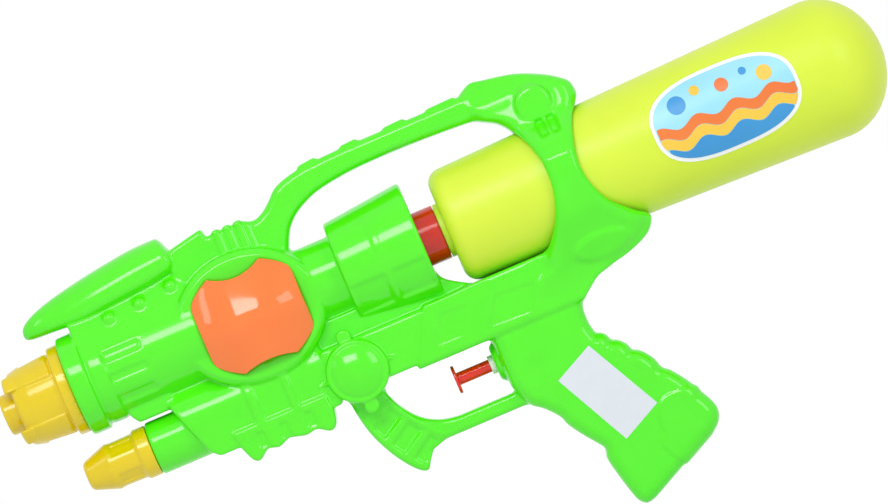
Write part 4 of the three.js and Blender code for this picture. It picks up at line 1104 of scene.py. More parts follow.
@dataclass
class Cup(Group):
    """Cup that carries the tank socket, and the saddle web behind it."""

    front: float = 43.3
    rear: float = 80.2
    front_radius: float = 22.9
    rear_radius: float = 26.7
    front_edge: float = 0.6
    rear_edge: float = 0.8
    saddle: Line = ((80.2, -14.6), (81.6, -17.6), (84.4, -20.4), (92, -25), (98, -27.8))
    saddle_foot: Line = ((98, -36), (76, -36), (76, -14.6))
    saddle_half: float = 10.0
    rib: Pair = (60.2, 63.4)
    upper_rib: Pair = (1.0, 17.0)
    panel: Pair = (-19.5, -7.2)
    mouth: Line = ((73.5, 0), (73.5, 15.3), (76.8, 15.3), (76.8, 12.5), (82.2, 12.5), (82.2, 0))

    def shape(self) -> None:
        """Add the cup and its saddle web."""
        self.mould.add(turned_x([
            (self.front, 0), (self.front, self.front_radius - self.front_edge),
            (self.front + self.front_edge, self.front_radius), (self.rear - self.rear_edge, self.rear_radius),
            (self.rear, self.rear_radius - self.rear_edge), (self.rear, 0),
        ]), fillet=0.6)
        saddle = [*through(self.saddle), *self.saddle_foot]
        self.mould.add(slab(saddle, self.saddle_half, rounding=1), fillet=1.5)

    def detail(self) -> None:
        """Sink the panels on its lower flanks, raise the rib and cut the mouth for the socket."""
        self.mould.relief(box_outline(self.front + 1.2, self.rear - 1.6, *self.panel), -1.1, soft=0.5)
        self.mould.relief(box_outline(*self.rib, *self.panel), 1.3, soft=0.7)
        self.mould.relief(box_outline(*self.rib, *self.upper_rib), 0.45, soft=0.9)
        self.mould.cut(turned_x(self.mouth))


@dataclass
class Forearm(Group):
    """Forearm under the barrel with its belts and comb block."""

    half: float = 15.0
    top: float = -16.0
    bottom: float = -51.8
    nose: Line = ((-50.4, -16.0), (-38.2, -48.2), (-34.4, -51.8))
    rear_start: float = 22.0
    rear_end: float = 76.0
    waist: float = -48.7
    waist_end: float = 60.0
    ledge: float = -27.3
    ledge_rise: float = -26.0
    shoulder: float = 20.0
    shoulder_z: float = -36.0
    tilt: float = 35.0
    neck_half: float = 10.0
    belts: Line = ((-15.3, -11.3), (1.3, 4.7))
    belt_proud: float = 0.8
    belt_low: float = -46.5
    comb: Line = (
        (-25, -53), (-22.6, -58.4), (-19.6, -59.8), (-15, -56.6), (-10, -57.7), (-4.6, -56), (2.6, -57.6),
        (7.6, -57), (12.8, -60), (16, -58.2), (17.6, -52.6))
    comb_top: Line = ((16.8, -44.5), (-27, -44.5))
    comb_half: float = 15.8
    windows: tuple[float, ...] = (-15.8, -5.1, 6.7)
    window_half: float = 2.0
    window_levels: Pair = (-55.4, -48.6)
    window_depth: float = 0.9

    def section(self, grow: float, low: float) -> list[Pair]:
        """Section across: upright flanks that lean in above their shoulders.

        Args:
            grow: How far it stands proud of the forearm.
            low: Its lower end.

        Returns:
            Corners in y and z.
        """
        rounded = arc((self.half - self.shoulder, self.shoulder_z), self.shoulder + grow, 0, self.tilt)
        y, z = rounded[-1]
        crest = (y - (self.top - z) * math.tan(math.radians(self.tilt)), self.top)
        return mirror([(self.half + grow, low), *rounded, crest])

    def shape(self) -> None:
        """Add forearm, heel, neck, belts and comb."""
        side = [*self.nose, (self.rear_start, self.bottom), (self.rear_start, self.top)]
        body = both(slab(side, self.half), drawn(self.section(0, self.bottom), -60, 90), rounding=1.2)
        self.mould.add(body, fillet=0.6)
        start = self.rear_start - 1
        heel = [(start, self.waist), (self.waist_end, self.waist), (self.rear_end, self.ledge_rise),
                (self.rear_end, self.ledge), (start, self.ledge)]
        self.mould.add(slab(heel, self.half, rounding=1.2), fillet=0.4)
        neck = box_outline(self.rear_start - 2, self.rear_end, self.ledge - 2, self.top)
        self.mould.add(slab(neck, self.neck_half), fillet=0.6)
        belt = self.section(self.belt_proud, self.belt_low)
        for x0, x1 in self.belts:
            self.mould.add(drawn(belt, x0, x1, rounding=0.4), fillet=0.4)
        comb = [*through(self.comb), *self.comb_top]
        self.mould.add(slab(comb, self.comb_half, rounding=1.2), fillet=0.4)

    def detail(self) -> None:
        """Sink the comb's windows."""
        for x in self.windows:
            window = box_outline(x - self.window_half, x + self.window_half, *self.window_levels)
            self.mould.relief(window, -self.window_depth)


@dataclass
class Receiver(Group):
    """Receiver behind the forearm with its swept tail, and the round boss ahead of it."""

    half: float = 16.0
    bottom: float = -51.0
    trough: float = -25.2
    upper_edge: float = 1.2
    lower_edge: float = 3.0
    top: Line = ((57, -51), (69.5, -26), (80, -26), (97, -25.2), (127, -25.2), (168, -27.6))
    tail: Line = ((174, -29.4), (170, -34.8), (160, -39.3), (146, -42.6), (139, -46.8), (134, -51))
    boss: Pair = (33.2, -41.0)
    boss_radius: float = 13.6
    boss_edge: float = 0.8
    boss_proud: float = 2.2
    dome_radius: float = 11.0
    dome_proud: float = 5.4
    groove_depth: float = 0.9
    knob_radius: float = 3.4
    knob_edge: float = 0.8
    knob_reach: float = 15.8
    knob_inner: float = 11.0
    spike_reach: float = 18.6
    spike_half: float = 2.8
    spike_proud: float = 0.8
    panels: tuple[Line, ...] = (
        ((67.8, -44.2), (75.4, -32.4), (87.6, -33.0), (80.2, -44.6)),
        ((92.4, -45.6), (99.6, -34.2), (117.6, -35.4), (111.2, -46.6)),
    )
    panel_depth: float = 0.55

    def shape(self) -> None:
        """Add the receiver, its boss, knobs and spikes."""
        low, high = self.lower_edge, self.upper_edge
        section = mirror([
            *arc((self.half - low, self.bottom + low), low, -90, 0, 5),
            *arc((self.half - high, self.trough - high), high, 0, 90, 6)])
        side = slab([*self.top, *through(self.tail)], self.half + 1)
        self.mould.add(both(side, drawn(section, 40, 190), rounding=0.8), fillet=0.5)
        x, z = self.boss
        base, face = self.half + self.boss_proud, self.half + self.dome_proud
        crown = [(base + (face - base) * (1 - s * s), self.dome_radius * s) for s in np.linspace(1, 0, 12)]
        self.mould.add(turned_y([
            (0, self.boss_radius), (base - self.boss_edge, self.boss_radius),
            (base, self.boss_radius - self.boss_edge), (base, self.dome_radius + 1.2),
            (base - self.groove_depth, self.dome_radius + 0.6), (base - self.groove_depth, self.dome_radius),
            *crown,
        ], x, z), fillet=0.5)
        proud = self.half + self.knob_edge
        for up in (self.knob_reach, -self.knob_reach):
            knob = turned_y([
                (0, self.knob_radius), (proud - 0.6, self.knob_radius),
                (proud, self.knob_radius - self.knob_edge), (proud, 0)], x, z + up)
            self.mould.add(both(knob, self.flank(), rounding=0.4), fillet=0.4)
        spikes = [(x - self.spike_reach, z), (x, z - self.spike_half),
                  (x + self.spike_reach, z), (x, z + self.spike_half)]
        self.mould.add(slab(spikes, self.half + self.spike_proud, rounding=0.5), fillet=0.4)

    def flank(self) -> Form:
        """Space outside the neck on both flanks.

        Returns:
            A form larger than the casing, open in the middle.
        """
        return Form(
            (-300, -60, -300), (300, 60, 300),
            lambda x, y, z: (self.knob_inner - np.abs(y))[None, :, None] + np.zeros((len(x), 1, len(z))))

    def detail(self) -> None:
        """Sink the slanted panels on its flank."""
        for panel in self.panels:
            self.mould.relief(panel, -self.panel_depth, soft=0.7)


@dataclass
class Grip(Group):
    """Pistol grip with scalloped back, trigger guard with its horn, and the pump's mouth."""

    half: float = 14.5
    rounding: float = 6.0
    top: Line = ((91, -48),)
    front_line: Line = (
        (91, -72.7), (95.2, -82.7), (100.2, -87), (105.2, -92.8), (107, -97.4), (111, -103.6),
        (115.4, -109.4), (117.7, -113), (116.8, -117.4), (118.2, -124.8), (120.8, -135), (122.6, -139.4),
        (125.6, -141.5), (130, -140.5))
    heel_line: Line = ((161.5, -124.8), (166.2, -120.8), (168, -116), (166.6, -111), (164.2, -106.6))
    back_line: Line = ((164.2, -106.6), (150.4, -85.4), (140.4, -73.6), (133.4, -66.4))
    throat_line: Line = ((132.3, -61), (132.5, -54), (135, -48))
    waves: int = 4
    wave_depth: float = 1.0
    lobe: float = 4.6
    lobe_over: float = 3.0
    lobe_proud: float = 0.6
    guard_half: float = 7.0
    guard_outer: Line = (
        (24.4, -50), (25.6, -60), (28.2, -70), (33, -80.2), (38.4, -88), (42.4, -91.6), (45, -91.8),
        (47.4, -88), (51, -84.6), (57, -82.7))
    guard_rear: Line = ((95, -82.7), (95, -75.7))
    guard_inner: Line = (
        (66, -75.7), (58.6, -74.4), (51.4, -70.8), (45.6, -64.8), (41.8, -58.6), (40, -50))
    pump_z: float = -61.2
    pump_boss: Line = ((88.3, 0), (88.3, 7.2), (89.9, 8.8), (94, 8.8), (94, 0))
    pump_room: Line = (
        (87, 0), (87, 4.4), (90.3, 4.4), (90.3, 7.1), (93.1, 7.1), (93.1, 5.9), (116.3, 5.9), (116.3, 0))
    panels: tuple[Line, ...] = (
        ((29.6, -66.6), (32.4, -72.4), (42.6, -66.4), (39.0, -60.6)),
        ((34.4, -76.0), (37.8, -81.6), (48.4, -75.0), (44.4, -69.6)),
        ((41.0, -85.0), (44.6, -89.4), (47.0, -86.6), (53.6, -81.8), (50.8, -78.2)),
    )
    panel_depth: float = 1.3
    ridge: Line = ((40.6, -57.0), (45.4, -67.0), (50.4, -74.0), (56.5, -80.8))
    ridge_half: Pair = (0.8, 0.4)
    ridge_proud: float = 0.7
    butt_edge: Line = (
        (158.0, -102.0), (153.7, -101.8), (149.3, -102.2), (144.9, -106.0), (143.7, -111.0), (143.3, -116.0),
        (140.7, -119.8), (142.1, -124.2), (144.7, -128.9), (149.0, -136.0))
    butt_rear: Line = ((174.0, -124.0), (174.0, -104.0))
    butt_proud: float = 0.9

    def back(self) -> tuple[np.ndarray, np.ndarray]:
        """Line along the back from heel to throat.

        Returns:
            Points on the line, and the outward normals there.
        """
        line = np.array(through(self.back_line, 16))
        along = np.gradient(line, axis=0)
        out = np.stack((along[:, 1], -along[:, 0]), axis=1) / np.linalg.norm(along, axis=1, keepdims=True)
        return line, out

    def outline(self) -> list[Pair]:
        """Side outline of the grip.

        Returns:
            Its corners.
        """
        front, heel, throat = [
            through(line, 4) for line in (self.front_line, self.heel_line, self.throat_line)]
        line, out = self.back()
        swell = self.wave_depth * np.abs(np.sin(np.linspace(0, math.pi * self.waves, len(line))))
        back = [tuple(p) for p in line + out * swell[:, None]]
        return [*self.top, *front, *heel, *back[1:], *throat]

    def shape(self) -> None:
        """Add grip, guard, horn and pump boss."""
        self.mould.add(slab(self.outline(), self.half, self.rounding), fillet=2.5)
        guard = [*through(self.guard_outer, 4), *self.guard_rear, *through(self.guard_inner, 4)]
        self.mould.add(slab(guard, self.guard_half, rounding=2.2), fillet=2.0)
        self.mould.add(turned_x(self.pump_boss, self.pump_z), fillet=0.6)

    def detail(self) -> None:
        """Sink the horn's panels, raise its ridge, the butt and the lobes, and cut the pump's room."""
        for panel in self.panels:
            self.mould.relief(panel, -self.panel_depth, soft=0.4)
        self.mould.relief([*through(self.butt_edge), *self.butt_rear], self.butt_proud, soft=0.5)
        line, out = self.back()
        for part in np.array_split(np.arange(len(line)), self.waves):
            middle, normals = line[part[1:-1]], out[part[1:-1]]
            inner, outer = middle - normals * self.lobe, middle + normals * self.lobe_over
            self.mould.relief([*outer, *inner[::-1]], self.lobe_proud, soft=1.9)
        ridge, (across, up) = through(self.ridge), self.ridge_half
        low = [(x - across, z - up) for x, z in ridge]
        high = [(x + across, z + up) for x, z in reversed(ridge)]
        self.mould.relief([*low, *high], self.ridge_proud, soft=0.6)
        self.mould.cut(turned_x(self.pump_room, self.pump_z))


@dataclass
class Strap(Group):
    """Strap round the tank, with the hood above it and the foot below it.

    Each station gives a height, the front and rear ends there and the half width.
    """

    stations: tuple[tuple[float, ...], ...] = (
        (-41.0, 112.0, 150.5, 15.6), (-36.5, 116.0, 167.2, 17.6), (-32.5, 122.0, 172.4, 19.6),
        (-28.0, 124.6, 174.4, 22.0), (-23.4, 129.4, 169.0, 24.6), (-12.4, 136.4, 158.8, 29.6),
        (3.0, 140.2, 154.6, 31.6), (10.0, 140.2, 155.4, 31.0), (14.0, 139.3, 156.6, 28.6),
        (18.6, 138.0, 158.2, 25.4), (22.6, 136.2, 160.4, 21.0), (27.0, 134.2, 162.8, 15.8),
        (32.8, 129.8, 166.0, 13.4), (37.4, 122.6, 165.4, 12.2), (42.5, 119.6, 160.2, 11.2),
        (47.0, 118.8, 152.4, 8.0), (50.6, 119.4, 143.4, 5.6), (53.9, 124.2, 127.6, 3.4),
    )
    low: Triple = (112.0, -31.6, -41.0)
    high: Triple = (174.6, 31.6, 53.9)
    corner_across: float = 0.5
    corner_along: float = 0.45
    end_softness: float = 1.5
    pod: Pair = (150.5, -32.0)
    pod_radii: Pair = (12.6, 5.6)
    pod_proud: float = 1.6
    hood_boss: Pair = (146.9, 35.2)
    hood_profile: Line = ((0, 7.9), (14.0, 7.9), (14.8, 7.4), (15.3, 6.4), (15.6, 4.4), (15.7, 0))
    slots: tuple[float, ...] = (145.9, 151.2)
    slot_half: float = 1.8
    slot_levels: Pair = (20.2, 27.6)
    slot_depth: float = 2.2
    tank_shoulder: float = 98.3
    tank_radius: float = 25.5
    tank_slope: float = 0.03123
    tank_play: float = 0.8
    room_ends: Pair = (91.5, 267.0)

    def form(self) -> Form:
        """Round-cornered sections that change with height.

        Returns:
            The form.
        """
        table = np.array(self.stations)

        def distance(*axes: np.ndarray) -> np.ndarray:
            """Distance inside each level's section.

            Args:
                axes: Places along x, places across and heights.

            Returns:
                Distances on their grid.
            """
            x, y, z = np.ix_(*axes)
            front, rear, half = [eased(table[:, 0], column, z) for column in table.T[1:]]
            length = (rear - front) / 2
            corner = np.minimum(self.corner_across * half, self.corner_along * length)
            flat = edge_rounded(np.abs(x - (front + rear) / 2) - length, np.abs(y) - half, corner)
            ends = np.maximum(table[0, 0] - z, z - table[-1, 0])
            return -soft_least(-flat, -ends, self.end_softness)

        return Form(self.low, self.high, distance)

    def shape(self) -> None:
        """Add the strap with its hood and foot, and the hood's boss."""
        self.mould.add(self.form(), fillet=3.0)
        self.mould.add(turned_y(self.hood_profile, *self.hood_boss), fillet=1.6)

    def detail(self) -> None:
        """Sink the slots below the hood, raise the foot's pod and cut the tank's room."""
        for x in self.slots:
            slot = box_outline(x - self.slot_half, x + self.slot_half, *self.slot_levels)
            self.mould.relief(slot, -self.slot_depth, soft=0.4)
        self.mould.relief(oval(self.pod, self.pod_radii, 40), self.pod_proud, soft=1.4)
        radius = self.tank_radius + self.tank_play
        room = [(x, radius + self.tank_slope * (x - self.tank_shoulder)) for x in self.room_ends]
        self.mould.cut(turned_x([(self.room_ends[0], 0), *room, (self.room_ends[1], 0)]), fillet=0.5)


@dataclass
class Dome:
    """Orange domed insert with a scalloped outline."""

    half_length: float = 23.1
    half_height: float = 21.7
    peak_x: float = 12.0
    top_scallop: float = 3.7
    low_scallop: float = 2.0
    centre: Pair = (1.0, -1.7)
    seat: float = 15.5
    rim: float = 21.4
    rise: float = 7.8
    crest: float = 0.16
    lip: float = 0.4
    lip_rings: int = 5
    cap_rings: int = 22
    cap_sizes: Pair = (0.9, 0.02)

    def outline(self, grow: float) -> list[Pair]:
        """Outline about the barrel axis.

        Args:
            grow: Distance by which it is grown.

        Returns:
            Its points.
        """
        a, b = self.half_length + grow, self.half_height + grow
        corner = through([(a, 0), (a, 0.53 * b), (a - 1.5, 0.7 * b), (a - 6.4, 0.88 * b), (self.peak_x, b)])

        def half(depth: float) -> list[Pair]:
            """Upper half from right to left.

            Args:
                depth: Depth of its scallop.

            Returns:
                Its points.
            """
            sag = [(s * self.peak_x, b - depth * (1 - s * s)) for s in np.linspace(1, 0, 8)[1:]]
            quarter = [*corner, *sag]
            return [*quarter, *[(-x, z) for x, z in reversed(quarter[:-1])]]

        lower = [(-x, -z) for x, z in half(self.low_scallop)]
        whole = [*half(self.top_scallop), *lower[1:-1]]
        return [(x + self.centre[0], z + self.centre[1]) for x, z in whole]

    def height(self, places: np.ndarray) -> np.ndarray:
        """Height of the cap over the middle plane.

        Args:
            places: Places seen from the side, from the insert's centre.

        Returns:
            One height for each place.
        """
        along, up = places[:, 0] / self.half_length, places[:, 1] / self.half_height
        fall = (np.hypot(up, self.crest) - self.crest) / (math.hypot(1, self.crest) - self.crest)
        return self.rim + self.rise * (1 - along ** 2 - fall)

    def mesh(self, name: str, side: int) -> bpy.types.Mesh:
        """Mesh of one insert.

        Args:
            name: Name of the mesh.
            side: -1 for the left side and 1 for the right.

        Returns:
            The mesh, closed at its seat.
        """
        edge = np.array(self.outline(0)) - self.centre
        turn = np.arctan2(edge[:, 1] / self.half_height, edge[:, 0] / self.half_length)
        smooth = np.stack((self.half_length * np.cos(turn), self.half_height * np.sin(turn)), axis=1)
        rings = [(edge, np.full(len(edge), self.seat))]
        for angle in np.linspace(0, math.pi / 2, self.lip_rings):
            ring = edge * (1 - self.lip * (1 - math.cos(angle)) / self.half_height)
            rings.append((ring, self.height(ring) - self.lip * (1 - math.sin(angle))))
        for size in np.linspace(*self.cap_sizes, self.cap_rings):
            share = size ** 3
            ring = size * (share * edge + (1 - share) * smooth)
            rings.append((ring, self.height(ring)))
        places = np.concatenate([
            np.stack((p[:, 0] + self.centre[0], side * y, p[:, 1] + self.centre[1]), axis=1)
            for p, y in rings])
        return ringed(name, places, len(edge), turned=side < 0)


@dataclass
class Casing:
    """Green casing: one moulded body, parted on the middle plane."""

    low: Triple = (-98.0, -34.5, -145.0)
    high: Triple = (178.0, 1.5, 57.0)
    step: float = 0.55
    rough_step: float = 0.9
    gap: float = 0.3
    pocket_overlap: float = 0.35
    screws: Line = (
        (-45, -11.5), (-36, 37), (-8, -47), (34.5, 40.5), (37.5, -78.5), (74, -44.4), (147.6, 40.4),
        (150, -112))
    screw_hole: Line = ((0, 1.6), (4, 1.6), (4, 3.1), (40, 3.1), (40, 0))

    def build(self, shop: Workshop, dome: Dome) -> None:
        """Mould both halves and place them.

        Args:
            shop: Workshop that places the pieces.
            dome: Insert whose pocket is cut into the drum.
        """
        mould = Mould(self.low, self.high, self.step)
        kinds = Barrel, Blade, Drum, Handle, Cup, Forearm, Receiver, Grip, Strap
        barrel, blade, drum, handle, *others = [kind(mould) for kind in kinds]
        for group in (barrel, blade, drum, handle, *others):
            group.shape()
        for group in (barrel, *others):
            group.detail()
        drum.detail(dome.outline(-self.pocket_overlap))
        mould.soften(2)
        left = mould.parted(self.gap).mesh("left_shell")
        shop.place(left, GREEN_POLYSTYRENE, Body.CASING, ["left_casing"], "green_body")
        for x, z in self.screws:
            mould.cut(turned_y(self.screw_hole, x, z))
        right = mould.parted(self.gap).mesh("right_shell", mirrored=True)
        shop.place(right, GREEN_POLYSTYRENE, Body.CASING, ["right_casing"], "green_body")


@dataclass
class Nozzles:
    """Yellow main nozzle with castellated front, and the lower nozzle."""

    step: float = 0.35
    ends: Pair = (-116.0, -64.0)
    reach: float = 22.0
    rear: float = -82.06
    collar_front: float = -87.1
    front: float = -107.1
    boss_front: float = -114.1
    stem: Line = ((-82.06, 13.4), (-70.4, 13.4), (-70.4, 1.3), (-65.9, 1.3), (-65.9, 0))
    ring: Line = ((-109.7, 0), (-109.7, 15.6), (-108.9, 16.4), (-105, 16.6), (-105, 0))
    hole: Triple = (-120.0, -100.0, 10.4)
    castle_gap: float = 9.0
    rib_front: float = -109.4
    rib: Pair = (8.8, 20.0)
    rib_proud: float = 0.9
    flat_front: float = -101.1
    flat_half: float = 5.0
    flat_deep: float = 17.0
    bore: Line = ((-120, 0), (-120, 3.3), (-109.9, 3.3), (-109.9, 2), (-72, 2), (-72, 0))
    lower_z: float = -37.8
    lower_ends: Pair = (-93.0, -50.0)
    lower_reach: float = 13.0
    lower_collar: float = -66.7
    lower_lip: float = -80.2
    lower_tip: float = -91.8
    lower_stem: Line = ((-61.06, 11.2), (-61.06, 7.6), (-52, 7.6), (-52, 0))
    lower_slot_z: float = 6.3
    lower_slot_half: float = 1.9
    lower_slot_depth: float = 0.7
    lower_bore: float = 3.4

    def main(self) -> bpy.types.Mesh:
        """Mould the main nozzle.

        Returns:
            Its mesh.
        """
        reach = self.reach
        mould = Mould((self.ends[0], -reach, -reach), (self.ends[1], reach, reach), self.step)
        mould.add(turned_x([
            (self.boss_front, 0), (self.boss_front, 8.3), (self.boss_front + 0.8, 9.1), (self.front, 9.1),
            (self.front, 14.6), (self.front + 1, 15.6), (-100.6, 17.0), (self.collar_front, 18.2),
            (self.collar_front, 19.6), (self.collar_front + 0.5, 20.1), (self.rear, 20.1), *self.stem,
        ]), fillet=0)
        ring, hole = turned_x(self.ring), turned_x(rod(*self.hole))

        def castle(*axes: np.ndarray) -> np.ndarray:
            """Distance of the ring without its middle and without the four gaps.

            Args:
                axes: Places along x, places across and heights.

            Returns:
                Distances on their grid.
            """
            _, y, z = np.ix_(*axes)
            sides = self.castle_gap - np.minimum(np.abs(y), np.abs(z))
            return np.maximum(np.maximum(ring.distance(*axes), -hole.distance(*axes)), sides)

        def flats(*axes: np.ndarray) -> np.ndarray:
            """Distance of the cuts for the flats above and below.

            Args:
                axes: Places along x, places across and heights.

            Returns:
                Distances on their grid.
            """
            x, y, z = np.ix_(*axes)
            middle = (self.flat_front + self.collar_front) / 2
            along = np.abs(x - middle) - (self.collar_front - self.flat_front) / 2
            return np.maximum(np.maximum(self.flat_deep - np.abs(z), np.abs(y) - self.flat_half), along)

        mould.add(Form(ring.low, ring.high, castle), fillet=0.4)
        low, high = self.rib
        for levels in ((low, high), (-high, -low)):
            rib = box_outline(self.rib_front, self.collar_front - 1.2, *levels)
            mould.relief(rib, self.rib_proud, soft=0.7, low=-reach, high=reach)
        mould.cut(Form((self.flat_front, -reach, -reach), (self.collar_front, reach, reach), flats))
        mould.cut(turned_x(self.bore))
        mould.soften(1)
        return mould.mesh("castle_nozzle")

    def lower(self) -> bpy.types.Mesh:
        """Mould the lower nozzle.

        Returns:
            Its mesh.
        """
        reach, level = self.lower_reach, self.lower_z
        collar, lip, tip = self.lower_collar, self.lower_lip, self.lower_tip
        mould = Mould(
            (self.lower_ends[0], -reach, level - reach), (self.lower_ends[1], reach, level + reach),
            self.step)
        mould.add(turned_x([
            (tip, 0), (tip, 5.4), (tip + 1.2, 6.6), (lip, 10.3), (lip + 2.4, 9.9), (collar - 1.2, 10.1),
            (collar, 11.2), *self.lower_stem,
        ], level), fillet=0)
        for z in (level + self.lower_slot_z, level - self.lower_slot_z):
            slot = box_outline(lip + 2.0, collar - 1.6, z - self.lower_slot_half, z + self.lower_slot_half)
            mould.relief(slot, -self.lower_slot_depth, soft=0.5, low=-reach, high=reach)
        mould.cut(turned_x(rod(tip - 1, tip + 6, self.lower_bore), level))
        mould.soften(1)
        return mould.mesh("taper_nozzle")

    def build(self, shop: Workshop) -> None:
        """Place both nozzles."""
        shop.place(self.main(), YELLOW_POLYSTYRENE, Body.CASING, ["main_nozzle"], "yellow_nozzle")
        shop.place(self.lower(), YELLOW_POLYSTYRENE, Body.CASING, ["lower_nozzle"], "yellow_nozzle")


@dataclass
class Bottle:
    """Blow-moulded tank with its neck, and the socket that it screws into."""

    shoulder: float = 91.8
    corner: float = 6.5
    front_radius: float = 25.5
    rear_radius: float = 30.8
    rear: float = 268.0
    end: float = 26.5
    wall: float = 1.6
    neck_end: float = 79.1
    neck_radius: float = 10.2
    neck_wall: float = 1.8
    lip_front: float = 89.8
    lip_radius: float = 12.0
    socket: Line = (
        (63.7, 0.7), (63.7, 1.3), (68.1, 1.3), (68.1, 7), (74.1, 7), (74.1, 15), (76.5, 15), (76.5, 12.2),
        (89.5, 12.2), (89.5, 10.5), (77, 10.5), (77, 2.5), (75.2, 2.5), (75.2, 0.7), (63.7, 0.7))
    socket_edge: float = 0.5

    def skin(self, inset: float) -> list[Pair]:
        """Profile from the shoulder to the end.

        Args:
            inset: Distance by which it is moved in.

        Returns:
            Places along x with their radii.
        """
        centre = (self.shoulder + self.corner, self.front_radius - self.corner)
        bend = arc(centre, self.corner - inset, 180, 90, 10)
        length, radius = self.end - inset, self.rear_radius - inset
        angles = np.linspace(0, math.pi / 2, 28)
        cap = [(self.rear + length * math.sin(a), radius * math.cos(a)) for a in angles]
        return [*bend, *cap[:-1], (self.rear + length, 0.0)]

    def radius_at(self, x: float) -> float:
        """Radius of the tapered body."""
        first = self.shoulder + self.corner
        return self.front_radius + (self.rear_radius - self.front_radius) * (x - first) / (self.rear - first)

    def build(self, shop: Workshop) -> None:
        """Place tank and socket.

        Args:
            shop: Workshop that places the pieces.
        """
        neck = self.neck_radius - self.neck_wall
        outside = [(self.neck_end, self.neck_radius), (self.lip_front, self.neck_radius),
                   (self.lip_front, self.lip_radius), (self.shoulder, self.lip_radius), *self.skin(0)]
        inside = [*reversed(self.skin(self.wall)), (self.shoulder + self.wall, neck), (self.neck_end, neck)]
        mesh = lathe("tank_shell", [*outside, *inside, outside[0]])
        shop.place(mesh, YELLOW_POLYETHYLENE, Body.BOTTLE, ["tank"], "tank_bottle")
        socket = lathe("screw_socket", filleted(self.socket, self.socket_edge))
        shop.place(socket, RED_POLYSTYRENE, Body.CASING, ["tank_socket"], "red_part")


@dataclass
class Sticker:
    """Sticker on the tank: white die-cut base with waves and bubbles in plain inks.

    Each bubble gives its centre, from the sticker's own, and its radius.
    """

    centre: Pair = (221.0, 1.6)
    half_length: float = 33.0
    half_height: float = 18.6
    squareness: float = 2.7
    border: float = 1.5
    wave_length: float = 17.0
    wave_height: float = 1.7
    band_share: float = 0.985
    thinnest: float = 0.05
    bubbles: tuple[Triple, ...] = (
        (-19.0, 8.6, 4.0), (-9.6, 11.6, 2.2), (2.0, 9.4, 3.0), (12.4, 11.4, 1.7), (20.6, 7.2, 3.4))
    base_lift: float = 0.05
    field_lift: float = 0.13
    print_lift: float = 0.21

    def badge(self, inset: float) -> list[Pair]:
        """Rounded outline of the base.

        Args:
            inset: Distance by which it is moved in.

        Returns:
            Its points.
        """
        radii, power = (self.half_length - inset, self.half_height - inset), 2 / self.squareness
        return [
            tuple(middle + radius * math.copysign(abs(share) ** power, share)
                  for middle, radius, share in zip(self.centre, radii, (math.cos(turn), math.sin(turn))))
            for turn in np.linspace(0, 2 * math.pi, 72, endpoint=False)]

    def band(self, low: float, high: float) -> list[Pair]:
        """Wavy band across the field.

        Args:
            low: Height of its lower edge, from the sticker's centre.
            high: Height of its upper edge.

        Returns:
            Its outline.
        """
        a, b = self.half_length - self.border, self.half_height - self.border
        xs = np.linspace(-self.band_share * a, self.band_share * a, 64)
        edge = b * (1 - np.abs(xs / a) ** self.squareness) ** (1 / self.squareness)
        wave = self.wave_height * np.sin(2 * math.pi * xs / self.wave_length)
        top, bottom = np.minimum(high + wave, edge), np.maximum(low + wave, -edge)
        kept = top - bottom > self.thinnest
        lower, upper = [
            [(self.centre[0] + x, self.centre[1] + z) for x, z in zip(xs[kept], line[kept])]
            for line in (bottom, top)]
        return [*lower, *reversed(upper)]

    def bubble(self, number: int) -> list[Pair]:
        """Round outline of one bubble."""
        x, z, radius = self.bubbles[number]
        return arc((self.centre[0] + x, self.centre[1] + z), radius, 0, 345, 23)

    def build(self, shop: Workshop, bottle: Bottle) -> None:
        """Lay the base and its inks on the tank.

        Args:
            shop: Workshop that places the pieces.
            bottle: Tank that carries the sticker.
        """
        def skin(x: float, z: float, lift: float) -> float:
            """Left flank of the tank."""
            return -math.sqrt((bottle.radius_at(x) + lift) ** 2 - z * z)

        blue = [self.band(-40.0, -9.6), self.bubble(0), self.bubble(3)]
        yellow = [self.band(-9.4, -4.6), self.bubble(1), self.bubble(4)]
        orange = [self.band(-4.4, 0.4), self.bubble(2)]
        sheets = (
            ("sticker_base", [self.badge(0)], COATED_PAPER, self.base_lift),
            ("sticker_field", [self.badge(self.border)], PALE_BLUE_INK, self.field_lift),
            ("sticker_blue", blue, BLUE_INK, self.print_lift),
            ("sticker_yellow", yellow, YELLOW_INK, self.print_lift),
            ("sticker_orange", orange, ORANGE_INK, self.print_lift),
        )
        for name, outlines, finish, lift in sheets:
            shop.place(decal(name, outlines, skin, lift), finish, Body.BOTTLE)


@dataclass
class Label:
    """Blank paper label on the left side of the grip."""

    corners: Line = ((128.2, -69.4), (110.4, -78.2), (127.6, -112.4), (145.7, -103.3))
    face: float = 14.5
    lift: float = 0.08

    def build(self, shop: Workshop) -> None:
        """Lay the label on the grip."""
        mesh = decal("grip_label", [self.corners], lambda x, z, lift: -self.face - lift, self.lift)
        shop.place(mesh, LABEL_PAPER, Body.CASING)


